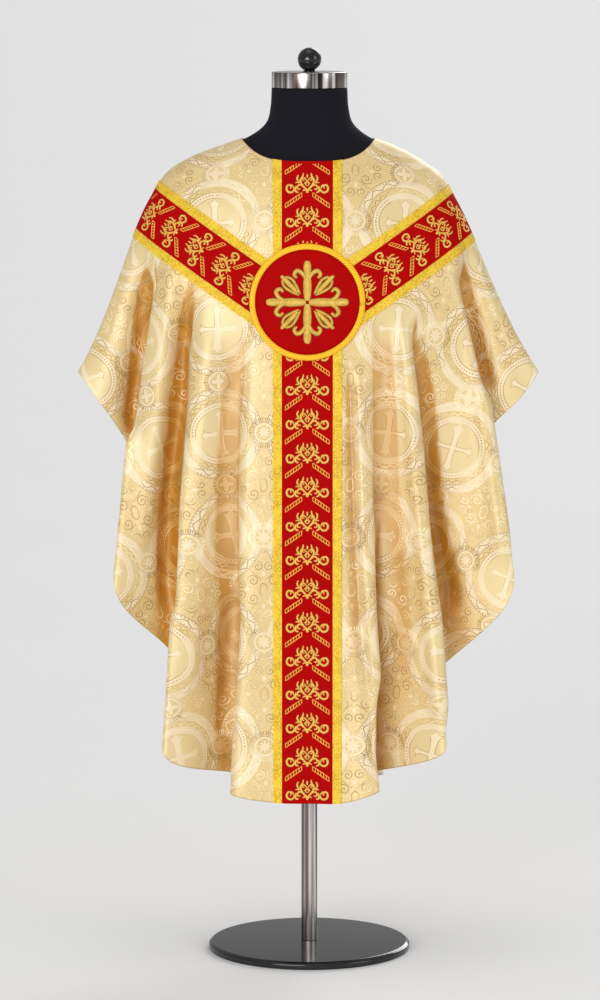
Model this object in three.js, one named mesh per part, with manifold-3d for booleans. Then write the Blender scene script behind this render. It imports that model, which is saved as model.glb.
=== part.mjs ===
// A gothic chasuble worn by a limbless dress form, in millimetres, +Z up, front towards -Y.
// The origin is on the floor, under the middle of the form's round base.
// The cloth is one closed loop of guides: it leaves the neckline, lies on the form's shoulders
// as far as the shoulder line, and hangs from there in deep folds to an oval hem.
import * as THREE from "three";
import { mergeVertices } from "three/addons/utils/BufferGeometryUtils.js";
import Module from "manifold-3d";

const wasm = await Module();
wasm.setup();

// Driving dimensions
const CLOTH = 2.0; // thickness of the brocade wall
const SEAM = 0.3; // gap between pieces that are sewn or rest on each other
const BAND = 1.2; // thickness of a red orphrey band
const GALLOON = 1.6; // thickness of the gold braid along its edges
const TRIM_MIDDLE = -4.2; // the orphreys hang a little to the left of the form's middle
const BAND_HALF = 46.3; // half width of the upright orphrey's red
const BRAID_WIDTH = 16.6; // width of its braid
const SLANT_HALF = 40.3; // the same sizes of the slanting orphreys, seen from the front
const SLANT_BRAID = 16.6;
const SLANT_RISE = THREE.MathUtils.degToRad(34.3);
const SLANT_APEX = 1197; // height where their middle lines would meet on the upright one
const ROUNDEL_HEIGHT = 1238; // centre of the round applique on the breast
const ROUNDEL_RADIUS = 106;
const ROUNDEL_BORDER = 10.5;
const ROUNDEL_CLOTH = 1.5;
const ROUNDEL_CORD = 2.5;
const EMBLEM_RELIEF = 2.2;
const NECK_RADIUS = 70;
const NECK_TOP = 1622;
const CAP_TOP = 1652;
const KNOB_RADIUS = 22;
const BASE_RADIUS = 190;
const BASE_HEIGHT = 14;
const POLE_RADIUS = 15;
const FORM_BOTTOM = 790;

// Rings of the cloth on the shoulders, by distance from the neckline. left and right are half
// widths, front and back are depths, and the heights are at the side, the front and the back.
// flat is how long the ring keeps its lowest height before it climbs to the side.
const YOKE = [
  { ring: "neckline", left: 125, right: 121, front: 95, back: 80, sideZ: 1529, frontZ: 1491, backZ: 1516, flat: 4 },
  { ring: "collarbone", left: 174, right: 165, front: 117, back: 103, sideZ: 1512, frontZ: 1438, backZ: 1468, flat: 3 },
  { ring: "shoulder", left: 226, right: 204, front: 131, back: 121, sideZ: 1491, frontZ: 1380, backZ: 1410, flat: 2.4 },
  { ring: "shoulder line", left: 267, right: 243, front: 140, back: 132, sideZ: 1462, frontZ: 1326, backZ: 1355, flat: 2 },
  { ring: "upper arm", left: 294, right: 269, front: 147, back: 140, sideZ: 1417, frontZ: 1272, backZ: 1300, flat: 1.8 },
];

// The folds of each quarter, from the middle outwards. A ridge comes forward, and the tuck
// behind it goes inwards. at is the angle where its guide leaves the yoke's last ring, from the
// middle; out and deep are its distances from the middle planes at the hem; hem is its height.
const FOLDS = {
  frontLeft: [
    { line: "middle", at: 9, out: 66, deep: 176, hem: 313, flare: 0.9 },
    { line: "ridge 1", at: 16, out: 143, deep: 170, hem: 326, flare: 0.8 },
    { line: "tuck 1", at: 21.5, out: 132, deep: 70, hem: 345, flare: 0.9 },
    { line: "ridge 2", at: 32, out: 267, deep: 150, hem: 394, flare: 0.6 },
    { line: "tuck 2", at: 41, out: 246, deep: 46, hem: 550, flare: 0.8 },
    { line: "ridge 3", at: 58, out: 360, deep: 88, hem: 695, flare: 0.8 },
    { line: "tuck 3", at: 70, out: 320, deep: 24, hem: 913, flare: 0.7 },
    { line: "wing", at: 81, out: 401, deep: 29, hem: 1057, flare: 1.1 },
  ],
  frontRight: [
    { line: "middle", at: 10, out: 66, deep: 176, hem: 313, flare: 0.9 },
    { line: "ridge 1", at: 17, out: 126, deep: 172, hem: 333, flare: 0.8 },
    { line: "tuck 1", at: 23, out: 105, deep: 72, hem: 345, flare: 0.9 },
    { line: "ridge 2", at: 34, out: 252, deep: 152, hem: 406, flare: 0.6 },
    { line: "tuck 2", at: 43, out: 214, deep: 50, hem: 500, flare: 0.8 },
    { line: "ridge 3", at: 60, out: 377, deep: 94, hem: 698, flare: 0.8 },
    { line: "tuck 3", at: 72, out: 312, deep: 24, hem: 948, flare: 0.7 },
    { line: "wing", at: 82, out: 397, deep: 30, hem: 1055, flare: 1.1 },
  ],
  backLeft: [
    { line: "middle", at: 9, out: 66, deep: 173, hem: 286, flare: 0.9 },
    { line: "ridge 1", at: 17, out: 130, deep: 168, hem: 300, flare: 0.8 },
    { line: "tuck 1", at: 22.5, out: 112, deep: 72, hem: 322, flare: 0.9 },
    { line: "ridge 2", at: 33, out: 256, deep: 147, hem: 380, flare: 0.6 },
    { line: "tuck 2", at: 42, out: 228, deep: 48, hem: 560, flare: 0.8 },
    { line: "ridge 3", at: 59, out: 346, deep: 86, hem: 690, flare: 0.5 },
    { line: "tuck 3", at: 71, out: 308, deep: 24, hem: 915, flare: 0.7 },
    { line: "wing", at: 81, out: 394, deep: 29, hem: 1060, flare: 1.1 },
  ],
  backRight: [
    { line: "middle", at: 9, out: 66, deep: 174, hem: 286, flare: 0.9 },
    { line: "ridge 1", at: 16, out: 139, deep: 170, hem: 298, flare: 0.8 },
    { line: "tuck 1", at: 22, out: 122, deep: 70, hem: 326, flare: 0.9 },
    { line: "ridge 2", at: 33, out: 246, deep: 150, hem: 388, flare: 0.6 },
    { line: "tuck 2", at: 42, out: 220, deep: 48, hem: 566, flare: 0.8 },
    { line: "ridge 3", at: 59, out: 350, deep: 86, hem: 700, flare: 0.5 },
    { line: "tuck 3", at: 71, out: 306, deep: 24, hem: 935, flare: 0.7 },
    { line: "wing", at: 82, out: 392, deep: 30, hem: 1062, flare: 1.1 },
  ],
};
const MIDDLE_FRONT = { at: 0, out: 0, deep: 177, hem: 312, flare: 0.9 };
const MIDDLE_BACK = { at: 0, out: 0, deep: 174, hem: 285, flare: 0.9 };
const TIP_LEFT = { at: 90, out: 430, deep: 0, hem: 1096, flare: 1.4 };
const TIP_RIGHT = { at: 90, out: 427, deep: 0, hem: 1096, flare: 1.4 };

// How finely the cloth is cut into facets
const STEPS_PER_FOLD = 3;
const FLAT_MIDDLE = 70; // guides this close to the centre line need no columns between them
const YOKE_ROWS = [0, 0.8, 1.6, 2.4, 3.2, 4];
const SKIRT_ROWS = 11;
const BAND_CURVES = 24; // segments of the roundel's outline
const LOBE_CURVES = 10;
const FLATTEN = 0.1; // facets this close to flat are joined in what lies on the panels
const THROUGH = 420; // depth of the cutters, more than the garment's
const SLOPE_STEP = 1e-3; // for tangents by differences
const START_PULL = 0.7; // how long the skirt keeps the slope of the yoke, as a share of its length

// Rings of the dress form from the top of the neck down, in the columns of the yoke.
const UNDER_CLOTH = 2.6; // how far its shoulders lie under the middle of the cloth's wall
const CHEST_AIR = 9; // how far its chest and back stay inside the cloth
const FORM_BELOW = [
  { ring: "shoulder end", half: 222, front: 124, back: 114, sideZ: 1462, frontZ: 1345, backZ: 1378, flat: 2 },
  { ring: "armhole top", half: 222, front: 126, back: 115, sideZ: 1428, frontZ: 1312, backZ: 1345, flat: 2 },
  { ring: "armhole", half: 206, front: 127, back: 114, sideZ: 1370, frontZ: 1280, backZ: 1305, flat: 2 },
  { ring: "armhole foot", half: 188, front: 126, back: 111, sideZ: 1310, frontZ: 1245, backZ: 1262, flat: 2 },
  { ring: "chest", half: 178, front: 122, back: 107, sideZ: 1215, frontZ: 1200, backZ: 1205, flat: 2 },
  { ring: "waist", half: 148, front: 102, back: 95, sideZ: 1070, frontZ: 1070, backZ: 1070, flat: 2 },
  { ring: "hip", half: 162, front: 101, back: 104, sideZ: 900, frontZ: 900, backZ: 900, flat: 2 },
  { ring: "seat", half: 160, front: 98, back: 102, sideZ: 830, frontZ: 830, backZ: 830, flat: 2 },
  { ring: "edge", half: 152, front: 92, back: 96, sideZ: 797, frontZ: 797, backZ: 797, flat: 2 },
  { ring: "underside", half: 143, front: 84, back: 88, sideZ: FORM_BOTTOM, frontZ: FORM_BOTTOM, backZ: FORM_BOTTOM, flat: 2 },
];
const FORM_NECK = [
  { ring: "neck top", half: NECK_RADIUS, front: NECK_RADIUS, back: NECK_RADIUS, sideZ: NECK_TOP, frontZ: NECK_TOP, backZ: NECK_TOP, flat: 2 },
  { ring: "neck", half: 72, front: 71, back: 70, sideZ: 1588, frontZ: 1586, backZ: 1588, flat: 2 },
  { ring: "neck root", half: 79, front: 76, back: 71, sideZ: 1560, frontZ: 1548, backZ: 1562, flat: 2 },
];
const FORM_COLUMNS = 40;

// A smooth curve through rows of numbers: cubic pieces with slopes from the neighbours.
// A closed curve has its first row again at the end of its last knot.
function smoothCurve(knots, rows, closed) {
  const last = knots.length - 1;
  const slope = (i, c) => {
    if (!closed && i === 0) return (rows[1][c] - rows[0][c]) / (knots[1] - knots[0]);
    if (!closed && i === last) return (rows[last][c] - rows[last - 1][c]) / (knots[last] - knots[last - 1]);
    const wraps = closed && (i === 0 || i === last);
    const before = wraps ? last - 1 : i - 1;
    const after = wraps ? 1 : i + 1;
    const here = wraps ? 0 : i;
    const stepBack = wraps ? knots[last] - knots[last - 1] : knots[i] - knots[i - 1];
    const stepOn = wraps ? knots[1] - knots[0] : knots[i + 1] - knots[i];
    const unwrap = (from, to) => rows[to][c] - rows[from][c];
    const back = wraps ? unwrap(before, last) / stepBack : unwrap(before, here) / stepBack;
    const on = unwrap(here, after) / stepOn;
    return (back * stepOn + on * stepBack) / (stepBack + stepOn);
  };
  const slopes = rows.map((row, i) => row.map((_, c) => slope(i, c)));
  return (knot) => {
    let i = 0;
    while (i < last - 1 && knot > knots[i + 1]) i += 1;
    const span = knots[i + 1] - knots[i];
    const t = (knot - knots[i]) / span;
    const t2 = t * t;
    const t3 = t2 * t;
    return rows[i].map((value, c) =>
      (2 * t3 - 3 * t2 + 1) * value
      + (t3 - 2 * t2 + t) * span * slopes[i][c]
      + (3 * t2 - 2 * t3) * rows[i + 1][c]
      + (t3 - t2) * span * slopes[i + 1][c]);
  };
}

// The point of a ring at a loop angle: 0 is the middle of the front, 90 the left side,
// 180 the middle of the back and 270 the right side.
function ringPoint([left, right, front, back, sideZ, frontZ, backZ, flat], loopAngle) {
  const angle = THREE.MathUtils.degToRad(loopAngle);
  const sine = Math.sin(angle);
  const cosine = Math.cos(angle);
  const endZ = cosine > 0 ? frontZ : backZ;
  return new THREE.Vector3(
    -(sine > 0 ? left : right) * sine,
    -(cosine > 0 ? front : back) * cosine,
    sideZ - (sideZ - endZ) * (1 - Math.abs(sine) ** flat),
  );
}
const ringRow = (r) => [r.left ?? r.half, r.right ?? r.half, r.front, r.back, r.sideZ, r.frontZ, r.backZ, r.flat];
const yokeCurve = smoothCurve(YOKE.map((_, i) => i), YOKE.map(ringRow), false);
const yokePoint = (loopAngle, ring) => ringPoint(yokeCurve(ring), loopAngle);
const LAST_RING = YOKE.length - 1;

// The guides in loop order, each with its angle on the yoke's last ring and its place at the hem.
function loopOfGuides() {
  const guide = (row, sideSign, depthSign, angle) => ({
    angle, x: sideSign * row.out, y: depthSign * row.deep, z: row.hem, flare: row.flare,
  });
  const frontLeft = FOLDS.frontLeft.map((row) => guide(row, -1, -1, row.at));
  const backLeft = FOLDS.backLeft.map((row) => guide(row, -1, 1, 180 - row.at)).reverse();
  const backRight = FOLDS.backRight.map((row) => guide(row, 1, 1, 180 + row.at));
  const frontRight = FOLDS.frontRight.map((row) => guide(row, 1, -1, 360 - row.at)).reverse();
  const loop = [
    guide(MIDDLE_FRONT, 1, -1, 0), ...frontLeft, guide(TIP_LEFT, -1, 1, 90), ...backLeft,
    guide(MIDDLE_BACK, 1, 1, 180), ...backRight, guide(TIP_RIGHT, 1, 1, 270), ...frontRight,
    guide(MIDDLE_FRONT, 1, -1, 360),
  ];
  return loop;
}
const guides = loopOfGuides();
const guideKnots = [0];
for (let i = 1; i < guides.length; i += 1) {
  const step = Math.hypot(
    guides[i].x - guides[i - 1].x, guides[i].y - guides[i - 1].y, guides[i].z - guides[i - 1].z,
  );
  guideKnots.push(guideKnots[i - 1] + Math.sqrt(step));
}
const hemCurve = smoothCurve(guideKnots, guides.map((g) => [g.x, g.y, g.z, g.flare]), true);
const angleCurve = smoothCurve(guideKnots, guides.map((g) => [g.angle]), true);
const leftTip = guides.findIndex((g) => g.angle === 90);
const rightTip = guides.findIndex((g) => g.angle === 270);

// A point of the cloth's middle surface. around is the loop knot. down runs from 0 at the
// neckline over the yoke's rings to 4 at the last of them, and on to 5 at the hem.
function clothPoint(around, down) {
  const total = guideKnots[guideKnots.length - 1];
  const knot = ((around % total) + total) % total;
  const [angle] = angleCurve(knot);
  if (down <= LAST_RING) return yokePoint(angle, down);
  const start = yokePoint(angle, LAST_RING);
  const [x, y, z, flare] = hemCurve(knot);
  const end = new THREE.Vector3(x, y, z);
  const reach = end.distanceTo(start);
  const leaving = yokePoint(angle, LAST_RING).sub(yokePoint(angle, LAST_RING - SLOPE_STEP))
    .normalize().multiplyScalar(reach * START_PULL);
  const arriving = end.clone().sub(start);
  arriving.x *= flare;
  arriving.y *= flare;
  const t = down - LAST_RING;
  const t2 = t * t;
  const t3 = t2 * t;
  return start.multiplyScalar(2 * t3 - 3 * t2 + 1)
    .addScaledVector(leaving, t3 - 2 * t2 + t)
    .addScaledVector(end, 3 * t2 - 2 * t3)
    .addScaledVector(arriving, t3 - t2);
}

function clothNormal(around, down) {
  const low = Math.max(down - SLOPE_STEP, 0);
  const high = Math.min(down + SLOPE_STEP, LAST_RING + 1);
  const along = clothPoint(around + SLOPE_STEP, down).sub(clothPoint(around - SLOPE_STEP, down));
  const downwards = clothPoint(around, high).sub(clothPoint(around, low));
  return along.cross(downwards).normalize();
}

// The grid of a panel between two guides of the loop, with a normal at each point. The edges
// on the shoulder seam are drawn back by half of the seam's gap.
function panelGrid(firstGuide, lastGuide, seamSign) {
  const columns = [];
  for (let i = firstGuide; i < lastGuide; i += 1) {
    const flat = Math.abs(guideAt(i).x) < FLAT_MIDDLE && Math.abs(guideAt(i + 1).x) < FLAT_MIDDLE;
    const steps = flat ? 1 : STEPS_PER_FOLD;
    for (let s = 0; s < steps; s += 1) {
      columns.push(knotAt(i) + ((knotAt(i + 1) - knotAt(i)) * s) / steps);
    }
  }
  columns.push(knotAt(lastGuide));
  const rows = [...YOKE_ROWS];
  for (let s = 1; s <= SKIRT_ROWS; s += 1) rows.push(LAST_RING + s / SKIRT_ROWS);
  const lastColumn = columns.length - 1;
  const points = columns.map((around, c) => rows.map((down) => {
    const p = clothPoint(around, down);
    if (c === 0 || c === lastColumn) p.y += (seamSign * SEAM) / 2;
    return p;
  }));
  const normals = columns.map((around) => rows.map((down) => clothNormal(around, down)));
  return { points, normals };
}
const loopCount = guides.length - 1;
function guideAt(i) {
  return guides[((i % loopCount) + loopCount) % loopCount];
}
function knotAt(i) {
  const turns = Math.floor(i / loopCount);
  return turns * guideKnots[loopCount] + guideKnots[i - turns * loopCount];
}

// A solid sheet over a grid, between two distances from it along the normals.
function sheetGeometry({ points, normals }, inner, outer) {
  const columns = points.length;
  const rows = points[0].length;
  const positions = [];
  for (const offset of [outer, inner]) {
    points.forEach((column, c) => column.forEach((p, r) => {
      positions.push(...p.clone().addScaledVector(normals[c][r], offset).toArray());
    }));
  }
  const outside = (c, r) => c * rows + r;
  const inside = (c, r) => columns * rows + c * rows + r;
  const faces = [];
  const quad = (a, b, c, d) => faces.push(a, b, c, a, c, d);
  for (let c = 0; c < columns - 1; c += 1) {
    for (let r = 0; r < rows - 1; r += 1) {
      quad(outside(c, r), outside(c + 1, r), outside(c + 1, r + 1), outside(c, r + 1));
      quad(inside(c, r), inside(c, r + 1), inside(c + 1, r + 1), inside(c + 1, r));
    }
    quad(outside(c + 1, 0), outside(c, 0), inside(c, 0), inside(c + 1, 0));
    quad(outside(c, rows - 1), outside(c + 1, rows - 1), inside(c + 1, rows - 1), inside(c, rows - 1));
  }
  for (let r = 0; r < rows - 1; r += 1) {
    const end = columns - 1;
    quad(outside(0, r), outside(0, r + 1), inside(0, r + 1), inside(0, r));
    quad(outside(end, r + 1), outside(end, r), inside(end, r), inside(end, r + 1));
  }
  return indexed(positions, faces);
}

function indexed(positions, faces) {
  const geometry = new THREE.BufferGeometry();
  geometry.setAttribute("position", new THREE.Float32BufferAttribute(positions, 3));
  geometry.setIndex(faces);
  return geometry;
}

function solid(geometry) {
  const plain = geometry.clone();
  plain.deleteAttribute("normal");
  plain.deleteAttribute("uv");
  const merged = mergeVertices(plain, 1e-4);
  return new wasm.Manifold(new wasm.Mesh({
    numProp: 3,
    vertProperties: merged.attributes.position.array,
    triVerts: new Uint32Array(merged.index.array),
  }));
}

function geometryOf(manifold) {
  const mesh = manifold.simplify(FLATTEN).getMesh();
  return indexed(Array.from(mesh.vertProperties), Array.from(mesh.triVerts));
}

// An upright outline in the front view, drawn through the whole depth of one panel.
function cutter(shape, depthSign, curveSegments = BAND_CURVES) {
  const geometry = new THREE.ExtrudeGeometry(shape, { depth: THROUGH, bevelEnabled: false, curveSegments });
  geometry.rotateX(Math.PI / 2);
  geometry.translate(TRIM_MIDDLE, depthSign > 0 ? THROUGH : 0, 0);
  return solid(geometry);
}

const outline = (corners) => new THREE.Shape(corners.map(([x, z]) => new THREE.Vector2(x, z)));

function uprightStrip(from, to) {
  const low = 200; // below the hem
  const high = 1600; // above the neckline
  return outline([[from, low], [to, low], [to, high], [from, high]]);
}

// A strip of the slanting orphrey between two distances from its middle line.
function slantStrip(sideSign, from, to) {
  const near = BAND_HALF + BRAID_WIDTH + SEAM;
  const far = 360; // beyond the arms
  const height = (x, offset) => SLANT_APEX + offset / Math.cos(SLANT_RISE) + x * Math.tan(SLANT_RISE);
  return outline([
    [sideSign * near, height(near, from)], [sideSign * far, height(far, from)],
    [sideSign * far, height(far, to)], [sideSign * near, height(near, to)],
  ]);
}

function circle(x, z, radius) {
  const shape = new THREE.Shape();
  shape.absarc(x, z, radius, 0, Math.PI * 2, false);
  return shape;
}

// The emblem: a cross whose arms widen and end in three lobes, with a leaf in each corner.
function emblemCutter() {
  const arm = { half: 7.5, flared: 12, length: 55, lobe: 11, lobeOut: 62, lobeAside: 15 };
  const leaf = { near: 26, far: 54, half: 8 };
  const parts = [cutter(circle(0, ROUNDEL_HEIGHT, 15), -1, LOBE_CURVES)];
  for (let quarter = 0; quarter < 4; quarter += 1) {
    const turn = (quarter * Math.PI) / 2;
    const place = (along, aside) => [
      along * Math.cos(turn) - aside * Math.sin(turn),
      ROUNDEL_HEIGHT + along * Math.sin(turn) + aside * Math.cos(turn),
    ];
    parts.push(cutter(outline([
      place(0, -arm.half), place(arm.length, -arm.flared), place(arm.length, arm.flared), place(0, arm.half),
    ]), -1));
    for (const aside of [-arm.lobeAside, arm.lobeAside]) {
      parts.push(cutter(circle(...place(arm.length, aside), arm.lobe), -1, LOBE_CURVES));
    }
    parts.push(cutter(circle(...place(arm.lobeOut, 0), arm.lobe), -1, LOBE_CURVES));
    const diagonal = (along, aside) => place((along - aside) * Math.SQRT1_2, (along + aside) * Math.SQRT1_2);
    parts.push(cutter(outline([
      diagonal(0, -2), diagonal(leaf.near, -2.5), diagonal((leaf.near + leaf.far) / 2, -leaf.half),
      diagonal(leaf.far, 0), diagonal((leaf.near + leaf.far) / 2, leaf.half), diagonal(leaf.near, 2.5),
      diagonal(0, 2),
    ]), -1));
  }
  return parts.reduce((whole, part) => whole.add(part));
}

const COLOURS = {
  brocade: { color: 0xe2c793, roughness: 0.5, metalness: 0.15 },
  orphrey: { color: 0xb50a12, roughness: 0.7, metalness: 0 },
  braid: { color: 0xe8bd3a, roughness: 0.45, metalness: 0.3 },
  jersey: { color: 0x1b1a22, roughness: 0.85, metalness: 0 },
  chrome: { color: 0xc9cbd0, roughness: 0.12, metalness: 1 },
  enamel: { color: 0x0b0b0d, roughness: 0.2, metalness: 0 },
};
const materials = Object.fromEntries(
  Object.entries(COLOURS).map(([name, look]) => [name, new THREE.MeshStandardMaterial(look)]),
);

const garment = new THREE.Group();
const dressForm = new THREE.Group();
function add(group, name, geometry, material) {
  const mesh = new THREE.Mesh(geometry, materials[material]);
  mesh.name = name;
  group.add(mesh);
}

// The orphreys and braids of one panel are cut from sheets that follow its outer face.
function addOrphreys(side, grid, depthSign) {
  const face = CLOTH / 2 + SEAM;
  const red = solid(sheetGeometry(grid, face, face + BAND));
  const gold = solid(sheetGeometry(grid, face, face + GALLOON));
  const cut = (name, sheet, shape, material) => {
    add(garment, `${side}_${name}`, geometryOf(sheet.intersect(cutter(shape, depthSign))), material);
  };
  const edge = BAND_HALF + SEAM;
  cut("upright_band", red, uprightStrip(-BAND_HALF, BAND_HALF), "orphrey");
  for (const [word, sign] of [["left", -1], ["right", 1]]) {
    const ends = [sign * edge, sign * (BAND_HALF + BRAID_WIDTH)].sort((a, b) => a - b);
    cut(`upright_braid_${word}`, gold, uprightStrip(...ends), "braid");
    cut(`slant_band_${word}`, red, slantStrip(sign, -SLANT_HALF, SLANT_HALF), "orphrey");
    const near = SLANT_HALF + SEAM;
    const far = SLANT_HALF + SLANT_BRAID;
    cut(`slant_braid_upper_${word}`, gold, slantStrip(sign, near, far), "braid");
    cut(`slant_braid_lower_${word}`, gold, slantStrip(sign, -far, -near), "braid");
  }
}

function addRoundel(grid) {
  const under = CLOTH / 2 + SEAM + GALLOON + SEAM;
  const cloth = solid(sheetGeometry(grid, under, under + ROUNDEL_CLOTH));
  const cord = solid(sheetGeometry(grid, under, under + ROUNDEL_CORD));
  const top = under + ROUNDEL_CLOTH + SEAM;
  const raised = solid(sheetGeometry(grid, top, top + EMBLEM_RELIEF));
  const inner = ROUNDEL_RADIUS - ROUNDEL_BORDER;
  const disc = cutter(circle(0, ROUNDEL_HEIGHT, inner - SEAM), -1);
  const ring = circle(0, ROUNDEL_HEIGHT, ROUNDEL_RADIUS);
  ring.holes.push(circle(0, ROUNDEL_HEIGHT, inner));
  add(garment, "roundel", geometryOf(cloth.intersect(disc)), "orphrey");
  add(garment, "roundel_border", geometryOf(cord.intersect(cutter(ring, -1))), "braid");
  add(garment, "roundel_cross", geometryOf(raised.intersect(emblemCutter())), "braid");
}

function addGarment() {
  const front = panelGrid(rightTip - loopCount, leftTip, -1);
  const back = panelGrid(leftTip, rightTip, 1);
  add(garment, "front_panel", sheetGeometry(front, -CLOTH / 2, CLOTH / 2), "brocade");
  add(garment, "back_panel", sheetGeometry(back, -CLOTH / 2, CLOTH / 2), "brocade");
  addOrphreys("front", front, -1);
  addOrphreys("back", back, 1);
  addRoundel(front);
}

// The torso of the form is closed rings from the neck's top to its underside. Under the cloth
// they are the yoke's own rings, drawn in.
function formGeometry() {
  const shoulderRing = 2;
  const underYoke = [...YOKE_ROWS.filter((row) => row < shoulderRing), shoulderRing].map((ring) => {
    const [left, right, front, back, sideZ, frontZ, backZ, flat] = yokeCurve(ring);
    return [left, right, front - CHEST_AIR, back - CHEST_AIR, sideZ - UNDER_CLOTH, frontZ, backZ, flat];
  });
  const rings = [...FORM_NECK.map(ringRow), ...underYoke, ...FORM_BELOW.map(ringRow)];
  const positions = [];
  rings.forEach((ring) => {
    for (let c = 0; c < FORM_COLUMNS; c += 1) {
      positions.push(...ringPoint(ring, (360 * c) / FORM_COLUMNS).toArray());
    }
  });
  const faces = [];
  const at = (ring, c) => ring * FORM_COLUMNS + (c % FORM_COLUMNS);
  for (let r = 0; r < rings.length - 1; r += 1) {
    for (let c = 0; c < FORM_COLUMNS; c += 1) {
      faces.push(at(r, c), at(r, c + 1), at(r + 1, c + 1), at(r, c), at(r + 1, c + 1), at(r + 1, c));
    }
  }
  const top = positions.length / 3;
  const bottom = top + 1;
  positions.push(0, 0, NECK_TOP, 0, 0, FORM_BOTTOM);
  for (let c = 0; c < FORM_COLUMNS; c += 1) {
    faces.push(top, at(0, c + 1), at(0, c));
    faces.push(bottom, at(rings.length - 1, c), at(rings.length - 1, c + 1));
  }
  return indexed(positions, faces);
}

function turned(profile, segments) {
  const geometry = new THREE.LatheGeometry(profile.map(([r, z]) => new THREE.Vector2(r, z)), segments);
  return geometry.rotateX(Math.PI / 2);
}

function addDressForm() {
  add(dressForm, "form_torso", formGeometry(), "jersey");
  const capBottom = NECK_TOP + SEAM;
  const chamfer = 2;
  add(dressForm, "form_neck_cap", turned([
    [0, capBottom], [NECK_RADIUS, capBottom], [NECK_RADIUS, CAP_TOP - chamfer],
    [NECK_RADIUS - chamfer, CAP_TOP], [0, CAP_TOP],
  ], 36), "chrome");
  const stem = { radius: 9, height: 3 };
  const sunk = 3; // how far the ball is cut off by its stem
  const knobBottom = CAP_TOP + SEAM;
  const knobCentre = knobBottom + stem.height + KNOB_RADIUS - sunk;
  const knob = [[0, knobBottom], [stem.radius, knobBottom], [stem.radius, knobBottom + stem.height]];
  const turns = 8;
  const first = Math.asin(stem.radius / KNOB_RADIUS);
  for (let i = 1; i <= turns; i += 1) {
    const angle = first + ((Math.PI - first) * i) / turns;
    const last = i === turns;
    knob.push([last ? 0 : KNOB_RADIUS * Math.sin(angle), knobCentre - KNOB_RADIUS * Math.cos(angle)]);
  }
  add(dressForm, "form_knob", turned(knob, 18), "enamel");
  const rim = 4;
  add(dressForm, "form_base", turned([
    [0, 0], [BASE_RADIUS, 0], [BASE_RADIUS, BASE_HEIGHT - rim], [BASE_RADIUS - rim, BASE_HEIGHT], [0, BASE_HEIGHT],
  ], 48), "enamel");
  add(dressForm, "form_pole", turned([
    [0, BASE_HEIGHT + SEAM], [POLE_RADIUS, BASE_HEIGHT + SEAM],
    [POLE_RADIUS, FORM_BOTTOM - SEAM], [0, FORM_BOTTOM - SEAM],
  ], 18), "chrome");
}

addGarment();
addDressForm();
const part = new THREE.Group();
part.add(garment, dressForm);
export default part;
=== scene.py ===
"""A gothic chasuble of cream and gold brocade with red orphreys, on a limbless dress form."""
import math
from functools import reduce

import bmesh
import bpy
import numpy as np
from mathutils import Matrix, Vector
from mathutils.bvhtree import BVHTree


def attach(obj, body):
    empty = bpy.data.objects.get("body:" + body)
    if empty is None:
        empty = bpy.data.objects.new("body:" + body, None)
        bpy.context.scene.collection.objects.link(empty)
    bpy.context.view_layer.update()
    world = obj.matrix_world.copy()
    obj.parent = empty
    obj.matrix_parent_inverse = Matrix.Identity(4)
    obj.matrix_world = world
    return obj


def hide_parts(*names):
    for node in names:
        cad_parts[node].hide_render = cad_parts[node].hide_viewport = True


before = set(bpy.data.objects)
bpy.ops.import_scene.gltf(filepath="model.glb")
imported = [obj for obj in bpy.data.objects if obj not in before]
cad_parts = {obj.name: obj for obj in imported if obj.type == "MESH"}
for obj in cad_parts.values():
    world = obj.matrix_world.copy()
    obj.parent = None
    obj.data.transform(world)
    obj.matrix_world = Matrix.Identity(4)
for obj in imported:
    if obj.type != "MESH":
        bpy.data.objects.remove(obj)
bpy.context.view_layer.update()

# Sizes of the cloth and what is sewn on it, in millimetres
MM = 0.001
CLOTH = 2.0  # thickness of the brocade wall
SEAM = 0.3  # gap between pieces that are sewn together
BAND = 1.2  # thickness of a red orphrey band
GALLOON = 1.6  # thickness of its gold braid
TRIM_MIDDLE = -4.2  # the orphreys hang a little to the left of the form's middle
BAND_HALF = 46.3
BRAID_WIDTH = 16.6
TRIM_EDGE = BAND_HALF + BRAID_WIDTH
SLANT_HALF = 40.3
SLANT_RISE = math.radians(34.3)
SLANT_APEX = 1197
RULER_TOP = 1600  # from where the upright orphrey is measured, over the neckline
UPRIGHT_REACH = 1350
SLANT_REACH = 420
RULER_STEP = 4.0
ROUNDEL_HEIGHT = 1238
ROUNDEL_RADIUS = 106
ROUNDEL_BORDER = 10.5
DISC_CLOTH = 1.5  # thickness of its red disc
BORDER_EDGE = 0.6  # height of the cord at its edges, and how much higher its middle is
BORDER_ROUND = 2.4

# Rings of the cloth on the shoulders: half widths to the left and right, depths to the front
# and back, and the heights at the side, the front and the back.
YOKE = np.array([
    # left, right, front, back, sideZ, frontZ, backZ, flat
    (125, 121, 95, 80, 1529, 1491, 1516, 4),
    (174, 165, 117, 103, 1512, 1438, 1468, 3),
    (226, 204, 131, 121, 1491, 1380, 1410, 2.4),
    (267, 243, 140, 132, 1462, 1326, 1355, 2),
    (294, 269, 147, 140, 1417, 1272, 1300, 1.8),
])
LAST_RING = len(YOKE) - 1

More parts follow.
